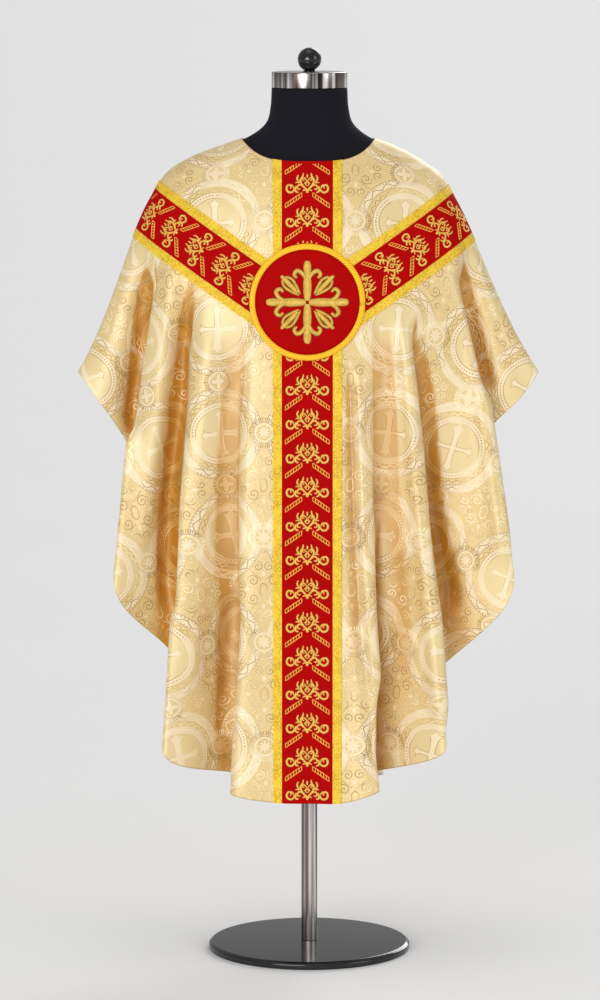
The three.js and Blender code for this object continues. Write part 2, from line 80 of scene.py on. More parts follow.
# Folds of each quarter from the middle outwards: a ridge comes forward and the tuck behind it
# goes inwards. Angle on the yoke's last ring, distances from the middle planes at the hem,
# height of the hem, and flare.
FOLDS = {
    # at, out, deep, hem, flare
    "front_left": [
        (9, 66, 176, 313, 0.9), (16, 143, 170, 326, 0.8), (21.5, 132, 70, 345, 0.9),
        (32, 267, 150, 394, 0.6), (41, 246, 46, 550, 0.8), (58, 360, 88, 695, 0.8),
        (70, 320, 24, 913, 0.7), (81, 401, 29, 1057, 1.1),
    ],
    "front_right": [
        (10, 66, 176, 313, 0.9), (17, 126, 172, 333, 0.8), (23, 105, 72, 345, 0.9),
        (34, 252, 152, 406, 0.6), (43, 214, 50, 500, 0.8), (60, 377, 94, 698, 0.8),
        (72, 312, 24, 948, 0.7), (82, 397, 30, 1055, 1.1),
    ],
    "back_left": [
        (9, 66, 173, 286, 0.9), (17, 130, 168, 300, 0.8), (22.5, 112, 72, 322, 0.9),
        (33, 256, 147, 380, 0.6), (42, 228, 48, 560, 0.8), (59, 346, 86, 690, 0.5),
        (71, 308, 24, 915, 0.7), (81, 394, 29, 1060, 1.1),
    ],
    "back_right": [
        (9, 66, 174, 286, 0.9), (16, 139, 170, 298, 0.8), (22, 122, 70, 326, 0.9),
        (33, 246, 150, 388, 0.6), (42, 220, 48, 566, 0.8), (59, 350, 86, 700, 0.5),
        (71, 306, 24, 935, 0.7), (82, 392, 30, 1062, 1.1),
    ],
}
MIDDLE_FRONT = (0, 0, 177, 312, 0.9)
MIDDLE_BACK = (0, 0, 174, 285, 0.9)
TIP_LEFT = (90, 430, 0, 1096, 1.4)
TIP_RIGHT = (90, 427, 0, 1096, 1.4)
START_PULL = 0.7  # how long the skirt keeps the slope of the yoke, as a share of its length
SLOPE_STEP = 1e-3  # of a ring, over which the yoke's slope is taken

# Columns and rows of each panel's fine surface, and of the coarse one that is laid flat
COLUMNS = 241
YOKE_ROWS = 44
SKIRT_ROWS = 126
COARSE = 6

# Main creases of each panel, on its front view: a ridge has a height over 0, a trough under 0.
CREASES = {
    "front": [
        # line, height, half width, path
        ("outer trough left", -24, 16, [
            (-285, 1330), (-306, 1236), (-317, 1143), (-328, 1051), (-331, 960),
        ]),
        ("outer ridge left", 12, 20, [(-246, 1328), (-277, 1051), (-314, 755)]),
        ("inner trough left", -24, 14, [
            (-225, 1240), (-240, 1143), (-244, 1051), (-254, 958), (-262, 866), (-263, 755), (-264, 640),
        ]),
        ("inner ridge left", 10, 22, [(-180, 1200), (-203, 866), (-230, 496)]),
        ("middle ridge left", 7, 16, [(-130, 1090), (-138, 900), (-143, 740)]),
        ("middle trough left", -12, 14, [(-140, 720), (-152, 520), (-166, 400)]),
        ("shoulder crease left", -6, 9, [(-176, 1425), (-150, 1345)]),
        ("double crease right", -9, 8, [(72, 1127), (82, 808), (94, 631), (112, 480), (124, 340)]),
        ("double ridge right", 8, 9, [(90, 1127), (99, 808), (112, 631), (126, 480)]),
        ("inner ridge right", 12, 15, [(170, 1217), (188, 1051), (203, 866), (226, 644), (246, 430)]),
        ("middle ridge right", 7, 14, [(130, 880), (138, 700), (141, 500)]),
        ("inner trough right", -20, 15, [(194, 1217), (210, 1051), (226, 866), (244, 755), (268, 640)]),
        ("outer ridge right", 9, 15, [(258, 1362), (284, 1254), (310, 1100), (334, 940), (362, 740)]),
        ("outer trough right", -22, 14, [(270, 1330), (293, 1236), (315, 1143), (338, 1040)]),
        ("shoulder crease right", -6, 9, [(140, 1440), (168, 1372)]),
    ],
    "back": [
        ("outer trough left", -16, 16, [(-262, 1340), (-288, 1170), (-312, 990)]),
        ("inner trough left", -15, 15, [(-205, 1230), (-228, 1010), (-240, 800)]),
        ("inner ridge left", 10, 20, [(-172, 1190), (-198, 880), (-224, 520)]),
        ("middle trough left", -9, 12, [(-104, 1120), (-118, 740), (-124, 430)]),
        ("shoulder crease left", -6, 9, [(-150, 1440), (-136, 1372)]),
        ("middle trough right", -9, 11, [(98, 1150), (112, 800), (120, 480)]),
        ("inner ridge right", 10, 18, [(166, 1210), (190, 900), (214, 560)]),
        ("inner trough right", -16, 15, [(196, 1220), (214, 1010), (230, 790)]),
        ("outer ridge right", 9, 16, [(252, 1340), (284, 1130), (322, 860)]),
        ("outer trough right", -14, 14, [(278, 1330), (306, 1160), (322, 1040)]),
    ],
}
CREASE_FADE = 70  # length over which a crease rises at its ends

# Fine ripples that run down the cloth: waves per radian round the neck, their height as a share
# of the distance from the neck, and how far they wander.
RIPPLES = [
    # waves, height, wander
    (23, 0.0016, 0.9), (37, 0.0011, 1.4), (58, 0.0007, 2.1), (91, 0.0004, 2.9),
]
RIPPLE_CENTRE = 0.28  # from the middle of the neckline up to the point they run from, in metres

# Painted shade: the deeper colour in the hollows of the folds
FOLD_SHADE_REACH = 5  # columns on either side that tell how hollow a place is
FOLD_SHADE_FULL = 0.16  # hollow that takes the whole of the painted shade
FOLD_SHADE_MIDDLE = (130, 230)  # the painted shade grows between these distances from the middle
FOLD_SHADE_MIDDLE_SHARE = 0.7  # its share nearer to the middle
FOLD_SHADE_BLUR = 30  # how often it is blurred down the cloth, so that its ends are soft
FOLD_SHADE_STRENGTH = {"front": 1.0, "back": 0.72}

# Spreading a panel flat
LEAST_WEIGHT = 0.05  # of an edge, however wide the angles that face it
FLAT_ROUNDS = 150
FAN_RADIUS = 300  # the first guess is a fan
FAN_ANGLE = 55

# The brocade's straight repeat, and what is woven round the great roundel at its start
REPEAT_ACROSS = 180
REPEAT_DOWN = 196
REPEAT_SIDE = 171  # distance of the first roundels from the seam down the middle
REPEAT_START = -109  # height of the first roundel under the front of the neckline
LINE = 0.55  # half width of a woven line
DISC_EDGE = 47.5
CROSS = [
    # half width, flare, its length, reach, middle of the tip, half width of the tip
    (4.6, 12.0, 42.0, 38.5, 38.0, 6.5), (2.8, 10.0, 34.0, 32.0, 31.5, 5.5),
]
CROSS_MARGIN = 1.1
FLARE_POWER = 8.0
TIP_SLOPE = 0.9
DOT_RING = 53.5
DOT_BAND = 5.2  # half width of the ring that the dots stand on
VINE_RING = 78.5
VINE_BAND = 7.5
ROUNDEL_REACH = 89.0
RINGS = [
    # radius, half width
    (47.8, 0.6), (59.2, LINE),
]
DOTS = (60, DOT_RING, 1.3)
RIMS = [71.0, 86.5]
WAVES = [
    # waves, swing, radius, half width
    (28, 2.2, 64.5, 0.8), (18, 3.2, VINE_RING, 0.9),
]
BEADS = [
    # beads, radius, half width
    (84, 73.0, 0.9), (84, 84.0, 0.9),
]

# Rosettes above and beside the roundels, and what grows in the corners between them
ROSETTE_RING = 16.8
ROSETTE_RIM = 19.4
ROSETTE_EDGE = 20.0
ROSETTES = {
    # petals, their reach and swing, rays, their radius and half width
    "above": (4, 11.0, 4.0, 36, 23.5, 2.5), "beside": (8, 10.0, 3.0, 44, 25.5, 3.5),
}
CURLS = [
    # across, along, pitch, reach
    (19, 17, 6.5, 11.0), (41, 9, 6.0, 8.5), (10, 44, 6.0, 9.0),
]
STEM = {"slope": 0.85, "rise": 16.0, "half": 0.7, "middle": 14.0, "reach": 10.0}
HEART = {"along": 0.9, "swing": 4.0, "radius": 5.0, "half": 0.8}
BUDS = [
    # across, along, squeezed across, squeezed along, radius
    (0.0, 30.0, 1.6, 1.0, 5.0), (29.0, 0.0, 1.0, 1.6, 4.5),
]
HEM_SHARE = 0.7  # of the last cell's width that lies inside of the darker band at the edge

# Repeat of the embroidery along an orphrey
MOTIF_STEP = 62.5
MOTIF_FOOT = 22  # from the hem up to the lowest motif's centre
MOTIF_DROP = 6  # of the motifs over the roundel, which start afresh from it
SLANT_START = 128  # from the apex to the first motif on a slant
SLANT_STEP = 62.5
SLANT_MOTIFS = 5

# Strokes of the scroll motif, across and along from its centre, and of a quarter of the emblem,
# aside and up from its centre, in millimetres. Each is stitched on both sides unless it is single.
MOTIF = [
    # stroke, half width, single, path
    ("lyre", 1.8, False, [(0, -13), (6, -8), (12, 0), (12.5, 7), (9, 12), (7.5, 19)]),
    ("inner volute", 1.2, False, [(0.5, 3), (3, 7), (7, 9.5), (9.5, 7), (7.5, 4.5), (5.5, 6.5)]),
    ("chevron", 1.1, False, [(0, 4), (3, 1), (6, -2)]),
    ("ring", 1.1, False, [(0, 1), (2.8, -1), (2.4, -4), (0, -5.2)]),
    ("spear", 1.6, True, [(0, 9.5), (0, 13), (0, 17)]),
    ("outer leaf", 1.6, False, [(14.5, 1), (18.5, 5), (19.5, 10), (17, 15)]),
    ("side leaf", 1.2, False, [(15, -1), (19, 1), (23, 0)]),
    ("foot", 2.6, True, [(0, -11), (0, -15), (0, -19)]),
    ("foot leaf", 1.4, False, [(1, -14), (4.5, -13), (9, -15)]),
    ("arm volute", 1.6, False, [(6, -10), (10, -5), (16, -4), (19.5, -8), (17, -12), (13, -11)]),
    ("arm leaf", 1.8, False, [(20, -7), (23, -11), (22, -16), (17, -18)]),
    ("great volute", 1.9, False, [
        (22, -6), (25, -13), (31, -18), (38, -16), (40, -9), (36, -4), (31, -7), (33, -11),
    ]),
    ("tip leaf", 1.3, False, [(26, -11), (28, -6), (32, -3)]),
]
EMBLEM = [
    ("arm", 7.5, True, [(0, 3), (0, 28), (0, 53)]),
    ("arm tip", 7.0, True, [(0, 49), (0, 61), (0, 75)]),
    ("arm leaf", 3.8, False, [(3, 42), (10, 53), (19, 57), (24, 50), (19, 44)]),
    ("corner leaf", 4.6, True, [(17, 17), (31, 31), (48, 48)]),
    ("corner curl", 2.6, True, [(13, 15), (20, 30), (30, 43), (39, 45), (40, 37)]),
    ("other curl", 2.6, True, [(15, 13), (30, 20), (43, 30), (45, 39), (37, 40)]),
]

# A ladder bar on each side between two motifs, rising towards the middle
LADDER = {"low": (40, 19.5), "high": (10, 40.5), "apart": 7.4, "rungs": 7, "half": 0.85}

# How the strokes are stitched
FULLNESS = 1.08  # of the motif's gold strokes against the widths in the table
MOTIF_WIDTH = 0.94  # of the motif against the places in the table
STITCH_HEIGHT = 0.9
EMBLEM_RELIEF = 4.6
SHADE_THREAD_HEIGHT = 0.12  # of the flat dark thread that shows round each stroke as painted shade
SHADE_THREAD_MARGIN = 0.7
PROFILE = [(-1.0, 0.0), (-0.55, 0.75), (0.0, 1.0), (0.55, 0.75), (1.0, 0.0)]
FLAT_PROFILE = [(-1.0, 1.0), (1.0, 1.0)]

# The dress form, and its rings from the top of the neck down
NECK_RADIUS = 70
NECK_TOP = 1622
CAP_TOP = 1652
CAP_ROUND = 3
KNOB_RADIUS = 22
KNOB_STEM = 9
KNOB_FOOT = 12
BASE_RADIUS = 190
BASE_HEIGHT = 14
BASE_SLOPE = (6, 4)  # how far its slanting rim runs inwards and down
BASE_ROUND = 2
POLE_RADIUS = 15
POLE_ROUND = 0.5
FORM_BOTTOM = 790
UNDER_YOKE = np.array((0, 0, 9, 9, 2.6, 0, 0, 0))  # how far inside of the yoke's rings it keeps
FORM_NECK = [
    # half, front, back, sideZ, frontZ, backZ
    (NECK_RADIUS, NECK_RADIUS, NECK_RADIUS, NECK_TOP, NECK_TOP, NECK_TOP),
    (72, 71, 70, 1588, 1586, 1588),
    (79, 76, 71, 1560, 1548, 1562),
]
FORM_BELOW = [
    # half, front, back, sideZ, frontZ, backZ
    (222, 124, 114, 1462, 1345, 1378),
    (222, 126, 115, 1428, 1312, 1345),
    (206, 127, 114, 1370, 1280, 1305),
    (188, 126, 111, 1310, 1245, 1262),
    (178, 122, 107, 1215, 1200, 1205),
    (148, 102, 95, 1070, 1070, 1070),
    (162, 101, 104, 900, 900, 900),
    (160, 98, 102, 830, 830, 830),
    (152, 92, 96, 797, 797, 797),
    (143, 84, 88, FORM_BOTTOM, FORM_BOTTOM, FORM_BOTTOM),
]

# Camera and lights. Distances and heights are in metres here, rows and columns in pixels.
CAMERA_DISTANCE = 8.0
CAMERA_HEIGHT = 1.9
AIM_DEPTH = -0.09
CLIP_END = 400
FLOOR_SIZE = 300
METRES_PER_PIXEL = 0.00185
FRAME_HEIGHT = 1000
FRAME_MIDDLE = 300
SENSOR = 24
MIDDLE_COLUMN = 309.5  # where the garment's middle stands in the frame
FLOOR_ROW = 968  # row of the floor's height, if it were seen level with the aim
LIGHTS = [
    # name, direction, strength, width in degrees
    ("key", (0.39, 0.92, -0.06), 2.44, 36),
    ("fill", (-0.9, 0.5, -0.3), 0.56, 30),
    ("overhead", (0.1, 0.1, -1.0), 0.42, 40),
    ("back", (-0.35, -0.9, -0.45), 0.9, 30),
]
WORLD_STRENGTH = 0.4


# Curves and the cloth's surface

def hermite(t, start, leaving, end, arriving, span=1.0):
    """Between two ends with the slopes there: t is 0 at the start and 1 at the end."""
    return (
        (2 * t**3 - 3 * t**2 + 1) * start
        + (t**3 - 2 * t**2 + t) * span * leaving
        + (3 * t**2 - 2 * t**3) * end
        + (t**3 - t**2) * span * arriving
    )


def smooth_curve(knots, rows, closed=False):
    """Cubic pieces through rows of numbers, with slopes from the neighbours."""
    knots = np.asarray(knots, float)
    rows = np.asarray(rows, float)
    steps = np.diff(knots)
    rates = np.diff(rows, axis=0) / steps[:, None]
    slopes = np.empty_like(rows)
    before, after = steps[:-1, None], steps[1:, None]
    slopes[1:-1] = (rates[:-1] * after + rates[1:] * before) / (before + after)
    slopes[0], slopes[-1] = rates[0], rates[-1]
    if closed:
        slopes[0] = slopes[-1] = (rates[-1] * steps[0] + rates[0] * steps[-1]) / (steps[0] + steps[-1])

    def at(knot):
        i = np.clip(np.searchsorted(knots, knot, side="right") - 1, 0, len(steps) - 1)
        t = ((knot - knots[i]) / steps[i])[..., None]
        return hermite(t, rows[i], slopes[i], rows[i + 1], slopes[i + 1], steps[i][..., None])

    return at


def ring_points(rings, loop_angle):
    """Points of rings at loop angles: 0 is the front's middle, 90 the left side, 180 the back."""
    left, right, front, back, side_z, front_z, back_z, flat = np.moveaxis(rings, -1, 0)
    sine = np.sin(np.radians(loop_angle))
    cosine = np.cos(np.radians(loop_angle))
    end_z = np.where(cosine > 0, front_z, back_z)
    return np.stack([
        -np.where(sine > 0, left, right) * sine,
        -np.where(cosine > 0, front, back) * cosine,
        side_z - (side_z - end_z) * (1 - np.abs(sine) ** flat),
    ], -1)


yoke_curve = smooth_curve(range(len(YOKE)), YOKE)


def yoke_points(loop_angle, ring):
    return ring_points(yoke_curve(ring), loop_angle)


def loop_of_guides():
    """Guides in loop order: angle, x, y, z at the hem and flare."""
    loop = []
    for before, rows, side, depth, start, turn in (
        (MIDDLE_FRONT, FOLDS["front_left"], -1, -1, 0, 1),
        (TIP_LEFT, FOLDS["back_left"][::-1], -1, 1, 180, -1),
        (MIDDLE_BACK, FOLDS["back_right"], 1, 1, 180, 1),
        (TIP_RIGHT, FOLDS["front_right"][::-1], 1, -1, 360, -1),
        (MIDDLE_FRONT, [], 1, -1, 360, -1),
    ):
        for at, out, deep, hem, flare in [before, *rows]:
            loop.append((start + turn * at, side * out, depth * deep, hem, flare))
    return np.array(loop, float)


GUIDES = loop_of_guides()
GUIDE_STEPS = np.sqrt(np.linalg.norm(np.diff(GUIDES[:, 1:4], axis=0), axis=1))
GUIDE_KNOTS = np.concatenate([[0], np.cumsum(GUIDE_STEPS)])
LOOP_LENGTH = GUIDE_KNOTS[-1]
hem_curve = smooth_curve(GUIDE_KNOTS, GUIDES[:, 1:], closed=True)
angle_curve = smooth_curve(GUIDE_KNOTS, GUIDES[:, :1], closed=True)
LEFT_TIP = GUIDE_KNOTS[list(GUIDES[:, 0]).index(90)]
RIGHT_TIP = GUIDE_KNOTS[list(GUIDES[:, 0]).index(270)]


def cloth_points(around, down):
    """The cloth's middle surface in millimetres. down is 0 at the neckline and 5 at the hem."""
    knot = np.mod(around, LOOP_LENGTH)
    angle = angle_curve(knot)[..., 0]
    on_yoke = yoke_points(angle, np.minimum(down, LAST_RING))
    start = yoke_points(angle, np.full_like(down, LAST_RING))
    above = yoke_points(angle, np.full_like(down, LAST_RING - SLOPE_STEP))
    hem = hem_curve(knot)
    end, flare = hem[..., :3], hem[..., 3:]
    reach = np.linalg.norm(end - start, axis=-1, keepdims=True)
    leaving = start - above
    leaving *= reach * START_PULL / np.linalg.norm(leaving, axis=-1, keepdims=True)
    arriving = (end - start) * np.concatenate([flare, flare, np.ones_like(flare)], -1)
    t = np.maximum(down - LAST_RING, 0)[..., None]
    return np.where(t > 0, hermite(t, start, leaving, end, arriving), on_yoke)


def grid_normals(points):
    around = np.gradient(points, axis=0)
    down = np.gradient(points, axis=1)
    normals = np.cross(around, down)
    return normals / np.linalg.norm(normals, axis=-1, keepdims=True)


def smooth_step(value):
    value = np.clip(value, 0, 1)
    return value * value * (3 - 2 * value)


def crease_height(crease, x, z):
    """How far a crease moves each point, by its distance from the crease's path."""
    _, height, half, path = crease
    path = np.array(path, float)
    nearest = np.full(x.shape, 1e9)
    travelled = np.zeros(x.shape)
    so_far = 0.0
    for start, end in zip(path[:-1], path[1:]):
        run = end - start
        length = np.hypot(*run)
        t = np.clip(((x - start[0]) * run[0] + (z - start[1]) * run[1]) / length**2, 0, 1)
        distance = np.hypot(x - start[0] - t * run[0], z - start[1] - t * run[1])
        closer = distance < nearest
        nearest = np.where(closer, distance, nearest)
        travelled = np.where(closer, so_far + t * length, travelled)
        so_far += length
    ends = smooth_step(travelled / CREASE_FADE) * smooth_step((so_far - travelled) / CREASE_FADE)
    return height * ends * np.exp(-((nearest / half) ** 2))


def panel_surface(side, first, last):
    """A panel's middle surface with its creases, as a grid of points in millimetres."""
    columns = np.linspace(first, last, COLUMNS)
    yoke = np.linspace(0, LAST_RING, YOKE_ROWS, endpoint=False)
    skirt = np.linspace(LAST_RING, LAST_RING + 1, SKIRT_ROWS)
    around, down = np.meshgrid(columns, np.concatenate([yoke, skirt]), indexing="ij")
    points = cloth_points(around, down)
    normals = grid_normals(points)
    x, z = points[..., 0], points[..., 2]
    moved = sum(crease_height(crease, x, z) for crease in CREASES[side])
    return points + normals * moved[..., None]


def rippled(points, flat, side):
    """The surface with fine ripples that fan out from the neck, still at the trims' edges."""
    from_centre = flat + np.array([0, -RIPPLE_CENTRE])
    radius = np.linalg.norm(from_centre, axis=-1)
    turn = np.arctan2(from_centre[..., 0], -from_centre[..., 1])
    shift = {"front": 0.0, "back": 2.0}[side]
    moved = np.zeros_like(radius)
    for k, (waves, share, wander) in enumerate(RIPPLES):
        wave = np.sin(turn * waves + shift + k * 1.7 + wander * np.sin(radius * (2.1 + k) + shift))
        # Each ripple swells at places of its own
        swell = 0.6 + 0.4 * np.sin(turn * (5 + 2 * k) + radius * 4 + k)
        moved += share * (radius - RIPPLE_CENTRE * 0.8).clip(0) * wave * swell / MM
    return points + grid_normals(points) * moved[..., None]


def blurred(values, passes):
    """The numbers of a grid, each mixed with the two beside it along the first axis, so many times."""
    for _ in range(passes):
        padded = np.concatenate([values[:1], values, values[-1:]])
        values = (padded[:-2] + 2 * padded[1:-1] + padded[2:]) / 4
    return values


def painted_shade_in_folds(points, side):
    """The painted shade of the folds: 0 on ridges and flat cloth to 1 in the depth of a fold, for each
    point of a grid.
    """
    normals = grid_normals(points)
    padded = np.concatenate([points[:1]] * FOLD_SHADE_REACH + [points] + [points[-1:]] * FOLD_SHADE_REACH)
    before, after = padded[:-2 * FOLD_SHADE_REACH], padded[2 * FOLD_SHADE_REACH:]
    rise = (((before + after) / 2 - points) * normals).sum(-1)
    chord = np.linalg.norm(after - before, axis=-1) / 2
    painted_fold_shade = blurred(blurred(rise / chord.clip(5), 3).T, FOLD_SHADE_BLUR).T
    from_middle = smooth_step((abs(points[..., 0]) - FOLD_SHADE_MIDDLE[0]) / (FOLD_SHADE_MIDDLE[1] - FOLD_SHADE_MIDDLE[0]))
    pale = FOLD_SHADE_MIDDLE_SHARE + (1 - FOLD_SHADE_MIDDLE_SHARE) * from_middle
    return smooth_step(painted_fold_shade / FOLD_SHADE_FULL) * pale * FOLD_SHADE_STRENGTH[side]


def parted(points, seam_sign):
    """Moves a panel's side edges off the other panel's, by half of the seam's gap."""
    points = points.copy()
    points[0, :, 1] += seam_sign * SEAM / 2
    points[-1, :, 1] += seam_sign * SEAM / 2
    return points


def flattened(points):
    """Lays a grid of the cloth flat with as little stretch as possible, and returns its plan."""
    columns, rows = points.shape[:2]
    at = np.arange(columns * rows).reshape(columns, rows)
    upper = np.stack([at[:-1, :-1], at[1:, :-1], at[1:, 1:]], -1).reshape(-1, 3)
    lower = np.stack([at[:-1, :-1], at[1:, 1:], at[:-1, 1:]], -1).reshape(-1, 3)
    triangles = np.concatenate([upper, lower])
    corner = points.reshape(-1, 3)[triangles]
    first, second = corner[:, 1] - corner[:, 0], corner[:, 2] - corner[:, 0]
    length = np.linalg.norm(first, axis=1)
    shape = np.zeros((len(triangles), 3, 2))
    shape[:, 1, 0] = length
    shape[:, 2, 0] = (first * second).sum(1) / length
    shape[:, 2, 1] = np.linalg.norm(np.cross(first, second), axis=1) / length

    # Each edge is held by the angles that face it
    edges = [(1, 2), (2, 0), (0, 1)]
    weights = np.empty((len(triangles), 3))
    matrix = np.zeros((columns * rows, columns * rows))
    for k, (i, j) in enumerate(edges):
        p, q = shape[:, i] - shape[:, k], shape[:, j] - shape[:, k]
        area = p[:, 0] * q[:, 1] - p[:, 1] * q[:, 0]
        weights[:, k] = np.maximum((p * q).sum(1) / area, LEAST_WEIGHT)
        a, b = triangles[:, i], triangles[:, j]
        for row, column, sign in ((a, a, 1), (b, b, 1), (a, b, -1), (b, a, -1)):
            np.add.at(matrix, (row, column), sign * weights[:, k])
    matrix[0, 0] += 1
    solve = np.linalg.inv(matrix)

    # A fan is the first guess: the columns are its rays
    down = np.linalg.norm(np.diff(points, axis=1), axis=2).cumsum(1)
    radius = FAN_RADIUS + np.concatenate([np.zeros((columns, 1)), down], 1)
    ray = np.radians(np.linspace(FAN_ANGLE, -FAN_ANGLE, columns))[:, None]
    plan = np.stack([radius * np.sin(ray), -radius * np.cos(ray)], -1).reshape(-1, 2)
    for _ in range(FLAT_ROUNDS):
        corner = plan[triangles]
        cosine, sine = np.zeros((2, len(triangles)))
        for k, (i, j) in enumerate(edges):
            now, true = corner[:, i] - corner[:, j], shape[:, i] - shape[:, j]
            cosine += weights[:, k] * (now * true).sum(1)
            sine += weights[:, k] * (now[:, 1] * true[:, 0] - now[:, 0] * true[:, 1])
        size = np.hypot(cosine, sine)
        cosine, sine = cosine / size, sine / size
        pull = np.zeros_like(plan)
        for k, (i, j) in enumerate(edges):
            true = (shape[:, i] - shape[:, j]) * weights[:, k, None]
            turned = np.stack([
                cosine * true[:, 0] - sine * true[:, 1],
                sine * true[:, 0] + cosine * true[:, 1],
            ], -1)
            np.add.at(pull, triangles[:, i], turned)
            np.add.at(pull, triangles[:, j], -turned)
        plan = solve @ pull

    plan = plan.reshape(columns, rows, 2)
    middle = columns // 2
    plan -= plan[middle, 0]
    lean = math.atan2(plan[middle, -1, 0], -plan[middle, -1, 1])
    turn = np.array([[math.cos(lean), math.sin(lean)], [-math.sin(lean), math.cos(lean)]])
    return plan @ turn.T


def flat_plan(points):
    """The flat place of each point of a fine grid, worked out on a coarse one, in metres."""
    columns, rows = points.shape[:2]
    keep_columns, keep_rows = (np.unique([*range(0, n, COARSE), n - 1]) for n in (columns, rows))
    coarse = flattened(points[np.ix_(keep_columns, keep_rows)])
    fine = smooth_curve(keep_columns, coarse.reshape(len(keep_columns), -1))(np.arange(columns))
    fine = fine.reshape(columns, len(keep_rows), 2).transpose(1, 0, 2).reshape(len(keep_rows), -1)
    fine = smooth_curve(keep_rows, fine)(np.arange(rows))
    return fine.reshape(rows, columns, 2).transpose(1, 0, 2) * MM


# Meshes

def grid_faces(columns, rows, closed=False):
    at = np.arange(columns * rows).reshape(columns, rows)
    if closed:
        at = np.vstack([at, at[:1]])
    quads = np.stack([at[:-1, :-1], at[1:, :-1], at[1:, 1:], at[:-1, 1:]], -1)
    return quads.reshape(-1, 4).tolist()


def plain_mesh(name, points, faces):
    mesh = bpy.data.meshes.new(name)
    mesh.from_pydata(points.tolist(), [], faces)
    mesh.update()
    return mesh


def mesh_arrays(mesh):
    points = np.empty(len(mesh.vertices) * 3)
    mesh.vertices.foreach_get("co", points)
    normals = np.empty(len(mesh.vertices) * 3)
    mesh.vertex_normals.foreach_get("vector", normals)
    faces = [tuple(face.vertices) for face in mesh.polygons]
    return points.reshape(-1, 3), normals.reshape(-1, 3), faces


def set_uv(mesh, flat):
    """Gives each corner the flat place of its vertex."""
    corners = np.empty(len(mesh.loops), int)
    mesh.loops.foreach_get("vertex_index", corners)
    layer = mesh.uv_layers.new(name="flat")
    layer.data.foreach_set("uv", np.asarray(flat)[corners].ravel())


def set_values(mesh, name, values):
    """Keeps a number on each vertex, for a material to read."""
    layer = mesh.attributes.new(name, "FLOAT", "POINT")
    layer.data.foreach_set("value", values)


def add_piece(name, mesh, materials, slot, *nodes):
    """Links a mesh as a piece of the one body, in the place of the CAD nodes named."""
    piece = bpy.data.objects.new(name, mesh)
    bpy.context.scene.collection.objects.link(piece)
    for material in materials:
        mesh.materials.append(material)
    mesh.shade_smooth()
    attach(piece, "root")
    if nodes:
        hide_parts(*nodes)
    return piece


def shell_mesh(name, surface, inner, outer, flat):
    """A thin closed wall between two distances from a surface, with crisp rims."""
    points, normals, faces = mesh_arrays(surface)
    count = len(points)
    walls = np.concatenate([points + normals * outer * MM, points + normals * inner * MM])
    directed = dict.fromkeys((a, b) for face in faces for a, b in zip(face, face[1:] + face[:1]))
    border = [(a, b) for a, b in directed if (b, a) not in directed]
    inside = [tuple(count + v for v in reversed(face)) for face in faces]
    rims = [(a, a + count, b + count, b) for a, b in border]
    mesh = plain_mesh(name, walls, faces + inside + rims)
    set_uv(mesh, np.concatenate([flat, flat]))
    sharp = {frozenset((a + wall, b + wall)) for a, b in border for wall in (0, count)}
    for edge in mesh.edges:
        edge.use_edge_sharp = frozenset(edge.vertices) in sharp
    mesh.polygons.foreach_set("material_index", [0] * len(faces) + [1] * len(faces) + [0] * len(rims))
    return mesh


def cut_surface(surface, planes):
    """The stretch of a surface inside of planes, each a point and a normal that points out."""
    work = bmesh.new()
    work.from_mesh(surface)
    for point, normal in planes:
        geometry = work.verts[:] + work.edges[:] + work.faces[:]
        bmesh.ops.bisect_plane(
            work, geom=geometry, plane_co=Vector(point) * MM, plane_no=normal, clear_outer=True,
        )
    cut = bpy.data.meshes.new("cut")
    work.to_mesh(cut)
    work.free()
    return cut


class Panel:
    """One panel of the garment: its surface, its flat plan and a way to look it up."""

    def __init__(self, side, first, last, seam_sign):
        self.side = side
        self.depth = seam_sign  # where lines of sight start, in metres, outside of the garment
        grid = panel_surface(side, first, last)
        self.flat = flat_plan(grid)
        grid = parted(rippled(grid, self.flat, side), seam_sign)
        # How much painted shade each point takes in the hollows of the folds
        self.painted_fold_shade = painted_shade_in_folds(grid, side)
        self.hem = np.zeros(grid.shape[:2])
        self.hem[:, (0, -1)] = 1.0
        faces = grid_faces(*grid.shape[:2])
        self.surface = plain_mesh(side + "_surface", grid.reshape(-1, 3) * MM, faces)
        points, _, faces = mesh_arrays(self.surface)
        self.tree = BVHTree.FromPolygons(points.tolist(), faces)

    def look(self, x, z):
        """The outermost point and normal at a place of the front view, or None."""
        start = Vector((x * MM, self.depth, z * MM))
        hit, normal, _, _ = self.tree.ray_cast(start, Vector((0, -self.depth, 0)))
        return None if hit is None else (hit, normal)

    def cut_size(self):
        """Width, length and area of the flat panel."""
        low, high = self.flat.min((0, 1)), self.flat.max((0, 1))
        a, b = self.flat[:-1, :-1] - self.flat[1:, 1:], self.flat[1:, :-1] - self.flat[:-1, 1:]
        area = abs(a[..., 0] * b[..., 1] - a[..., 1] * b[..., 0]).sum() / 2
        return float(high[0] - low[0]), float(high[1] - low[1]), float(area)


